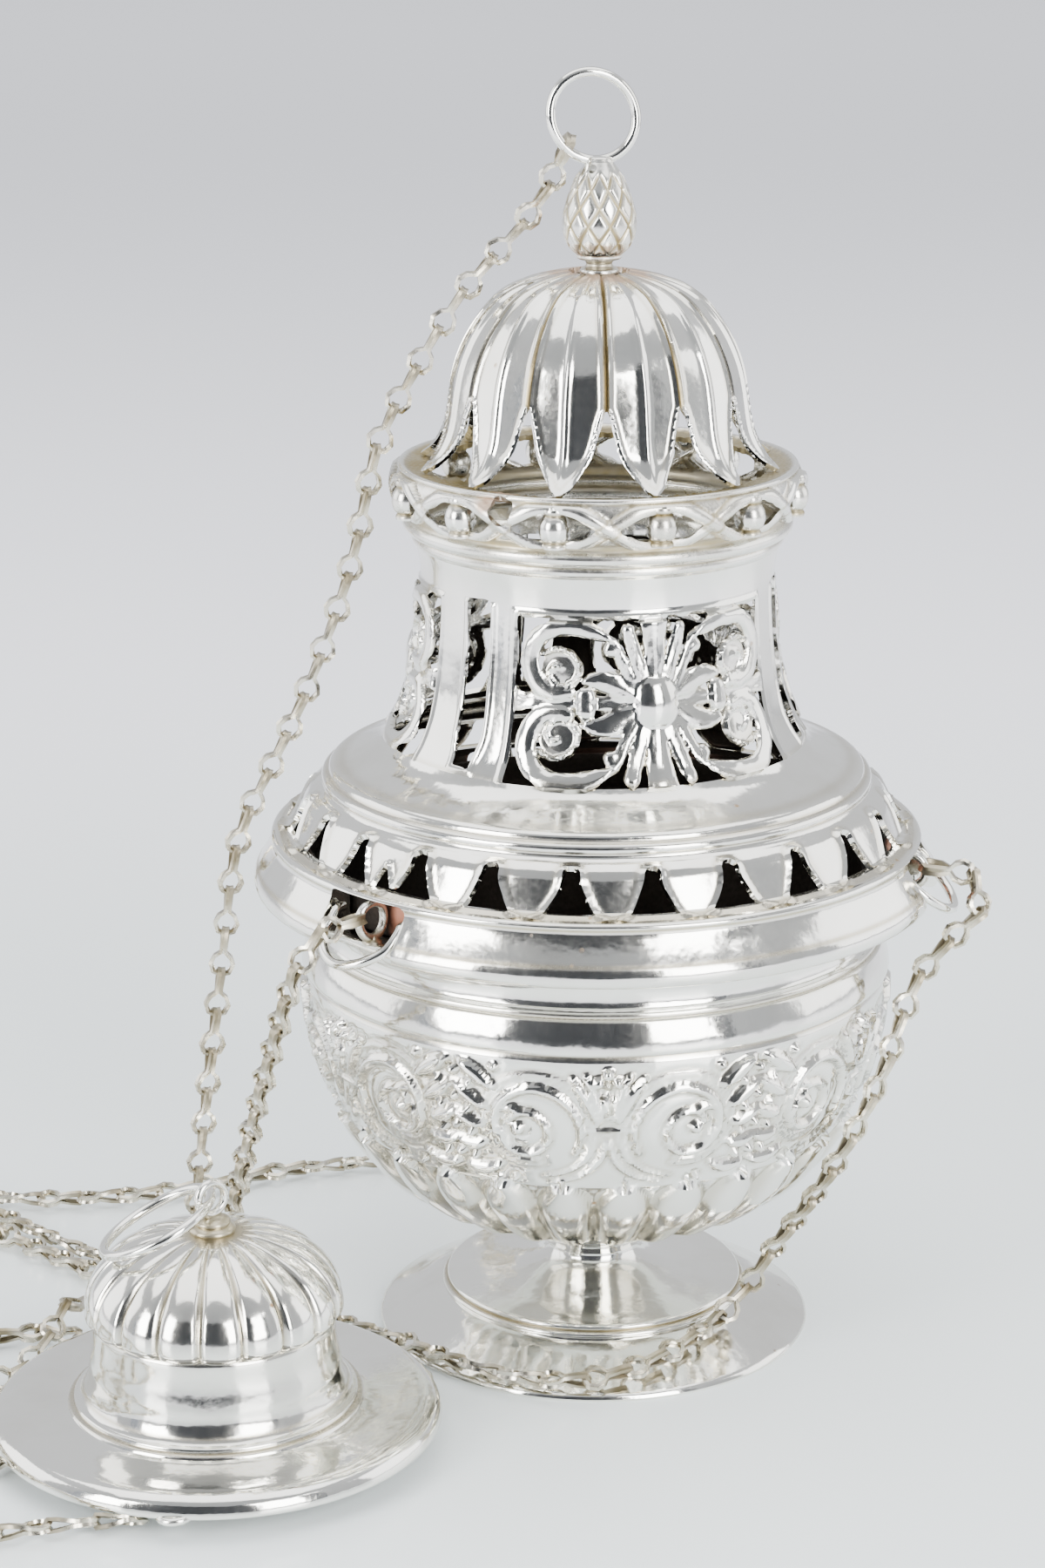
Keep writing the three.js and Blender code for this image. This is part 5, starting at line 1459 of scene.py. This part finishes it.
CAP_FLARE_RUNS = [
    [(25.2, 8.6), (30, 7.8), (36, 7.1), (41, 6.3), (43.4, 5.3), 1.2],
    [(43.4, 5.3), (44.3, 4.7), (45.0, 4.8), (45.2, 5.4), 0.35],
    [(45.2, 5.4), (45.0, 6.4), (44.5, 7.4), (43.5, 8.3), (41.6, 8.8), (38, 8.8), (33, 8.8), (30.6, 9.1),
     (29.6, 9.4), 0.6],
    [(29.6, 9.4), (29.3, 10.0), (28.4, 10.2), 0.35],
    [(28.4, 10.2), (28.2, 11.0), (27.4, 11.2), 0.35],
    [(27.4, 11.2), (26.4, 12.2), (25.6, 14.2), (25.3, 15.6), (25.2, 17.0), (24.8, 19.0), (24.3, 21.2),
     (24.1, 23.4), (24.1, 25.4), (24.0, 26.6), (23.4, 27.3)],
    [(23.4, 27.3), (22.4, 27.2)],
    [(22.4, 27.2), (22.8, 24), (22.6, 18), (22.8, 13.4), (23.6, 10.4), (25.2, 8.6), 1.6],
]
CAP_DOME_RUNS = [
    [(22.2, 27.4), (23.6, 27.2)],
    [(23.6, 27.2), (24.4, 27.8), (24.8, 29.0), (24.6, 31.4), (23.4, 34.5), (21.2, 37.4), (18.2, 39.9),
     (14.4, 41.9), (9.8, 43.5), (4.4, 44.6), 0.55],
    [(4.4, 44.6), (4.7, 45.2), (4.1, 45.9), (3.5, 46.2), 0.35],
    [(3.5, 46.2), (3.7, 46.9), (2.6, 47.6), (0, 47.8), 0.4],
    [(0, 47.8), (0, 43.2), 1.5],
    [(0, 43.2), (9, 42.9), (15.6, 41), (20.4, 37.4), (22.8, 33), (23.4, 29.6), (22.2, 27.4), 1.8],
]

RING_EYE_HEIGHT = 51.45  # mm, of the staple's middle, which the hand ring swings round
HAND_RING_RADIUS = 12  # mm, to the middle of its wire
HAND_RING_DIP = math.radians(26)
LUG_HEIGHT = 4.7  # mm
LUG_PLACES = ((-5, 42.7), (115, 42.7), (235, 42.7), (270, 38.3))  # azimuth and distance from the cap's middle


def cap_plate_film(azimuth, radius, height, out):
    """No raised work on the cap's plate and band, and film in their lines."""
    film = 0.6 * bell(height - 10.2, 0.3) * (radius > 25) + 0.5 * bell(height - 12.2, 0.35)
    return 0 * radius, film + 0.4 * bell(height - 27, 0.4)


def cap_dome_relief(azimuth, radius, height, out):
    """Flutes that fade out towards the collar, with scalloped feet."""
    lobe = 2 * np.abs(((azimuth - 9) * sizes().flutes / 360 + 0.5) % 1 - 0.5)
    on = (out > -0.3) * (height < 44.4) * (radius > 4.6) * ease(radius, 4.8, 9)
    body = ease(height, 27.1, 29.0)
    lobe_height = half_round(lobe * 0.98)
    raised = (1.0 * lobe_height - 0.55 * bell(1 - lobe, 0.16)) * on
    raised = raised * (0.35 + 0.65 * body) * np.clip(radius / 20, 0.3, 1)
    scallop = 0.55 * (lobe_height - 0.5) * bell(height - 27.6, 1.0) * (radius > 23)
    hollow = 0.5 * bell(1 - lobe, 0.14) * on + 0.7 * ease(-radius, -9, -5) * (height > 43) * (out > -0.9)
    return raised + scallop, np.clip(hollow, 0, 1)


class THURIBLE_OT_hand_cap(bpy.types.Operator):
    """The hand cap: flared plate, band, fluted dome, staple, ring and the lugs that take the chains"""
    bl_idname = "thurible.hand_cap"
    bl_label = "Hand cap"

    def execute(self, context):
        eye = np.array([*CAP_CENTRE, RING_EYE_HEIGHT])
        plate = turned("cap_plate_and_band", CAP_FLARE_RUNS, columns=192, step=0.8, relief=cap_plate_film,
                       centre=CAP_CENTRE)
        hand_over(plate, "base", [finish(polished_silver)], ("cap_flare", "cap_band"))
        dome = turned("fluted_cap_dome", CAP_DOME_RUNS, columns=480, step=0.6, relief=cap_dome_relief,
                      centre=CAP_CENTRE)
        hand_over(dome, "base", [finish(polished_silver)], ("cap_dome", "cap_collar"), angle=60)
        h = math.sqrt(0.5)
        staple = wire_ring("cap_staple_ring", eye, (h, h, 0), (0, 0, 1), radius=3.3, thickness=1.75,
                           oval=0.03, seed=41)
        hand_over(staple, "base", [finish(cast_silver)], ("cap_staple",), angle=60)
        down = np.array([-math.cos(HAND_RING_DIP), 0, -math.sin(HAND_RING_DIP)])
        ring = wire_ring("hand_ring_wire", eye + HAND_RING_RADIUS * down, down, (0, 1, 0),
                         radius=HAND_RING_RADIUS, thickness=2.05, oval=0.012, seed=42)
        hand_over(ring, "hand_ring", [finish(polished_silver)], ("hand_ring",), angle=60)
        for i, (azimuth, reach) in enumerate(LUG_PLACES):
            place = around(azimuth, reach, LUG_HEIGHT) + [*CAP_CENTRE, 0]
            lug = wire_ring(f"cap_lug_ring_{i + 1}", place, (1, 0, 0), (0, 1, 0), radius=3.1, thickness=1.65,
                            oval=0.03, seed=50 + i)
            hand_over(lug, "base", [finish(cast_silver)], (f"cap_lug_{i + 1}",), angle=60)
        return {"FINISHED"}


class THURIBLE_PT_parts(bpy.types.Panel):
    """The thurible's parts, in the order they are made"""
    bl_label = "Thurible"
    bl_idname = "THURIBLE_PT_parts"
    bl_space_type = "VIEW_3D"
    bl_region_type = "UI"
    bl_category = "Thurible"

    def draw(self, context):
        for group in (context.scene.thurible_sizes, context.scene.thurible_finishes):
            box = self.layout.box()
            for name in group.__annotations__:
                box.prop(group, name)
        for operator in OPERATORS:
            self.layout.operator(operator.bl_idname)


OPERATORS = (THURIBLE_OT_stage, THURIBLE_OT_chains, THURIBLE_OT_foot, THURIBLE_OT_bowl, THURIBLE_OT_lid,
             THURIBLE_OT_hand_cap)
CLASSES = (ThuribleSizes, ThuribleFinishes, *OPERATORS, THURIBLE_PT_parts)


def register():
    for cls in CLASSES:
        bpy.utils.register_class(cls)
    bpy.types.Scene.thurible_sizes = PointerProperty(type=ThuribleSizes)
    bpy.types.Scene.thurible_finishes = PointerProperty(type=ThuribleFinishes)


def unregister():
    del bpy.types.Scene.thurible_finishes
    del bpy.types.Scene.thurible_sizes
    for cls in reversed(CLASSES):
        bpy.utils.unregister_class(cls)


def main():
    register()
    bpy.ops.thurible.stage()
    bpy.ops.thurible.chains()
    bpy.ops.thurible.foot()
    bpy.ops.thurible.bowl()
    bpy.ops.thurible.lid()
    bpy.ops.thurible.hand_cap()
    select_only()


if __name__ == "__main__":
    main()
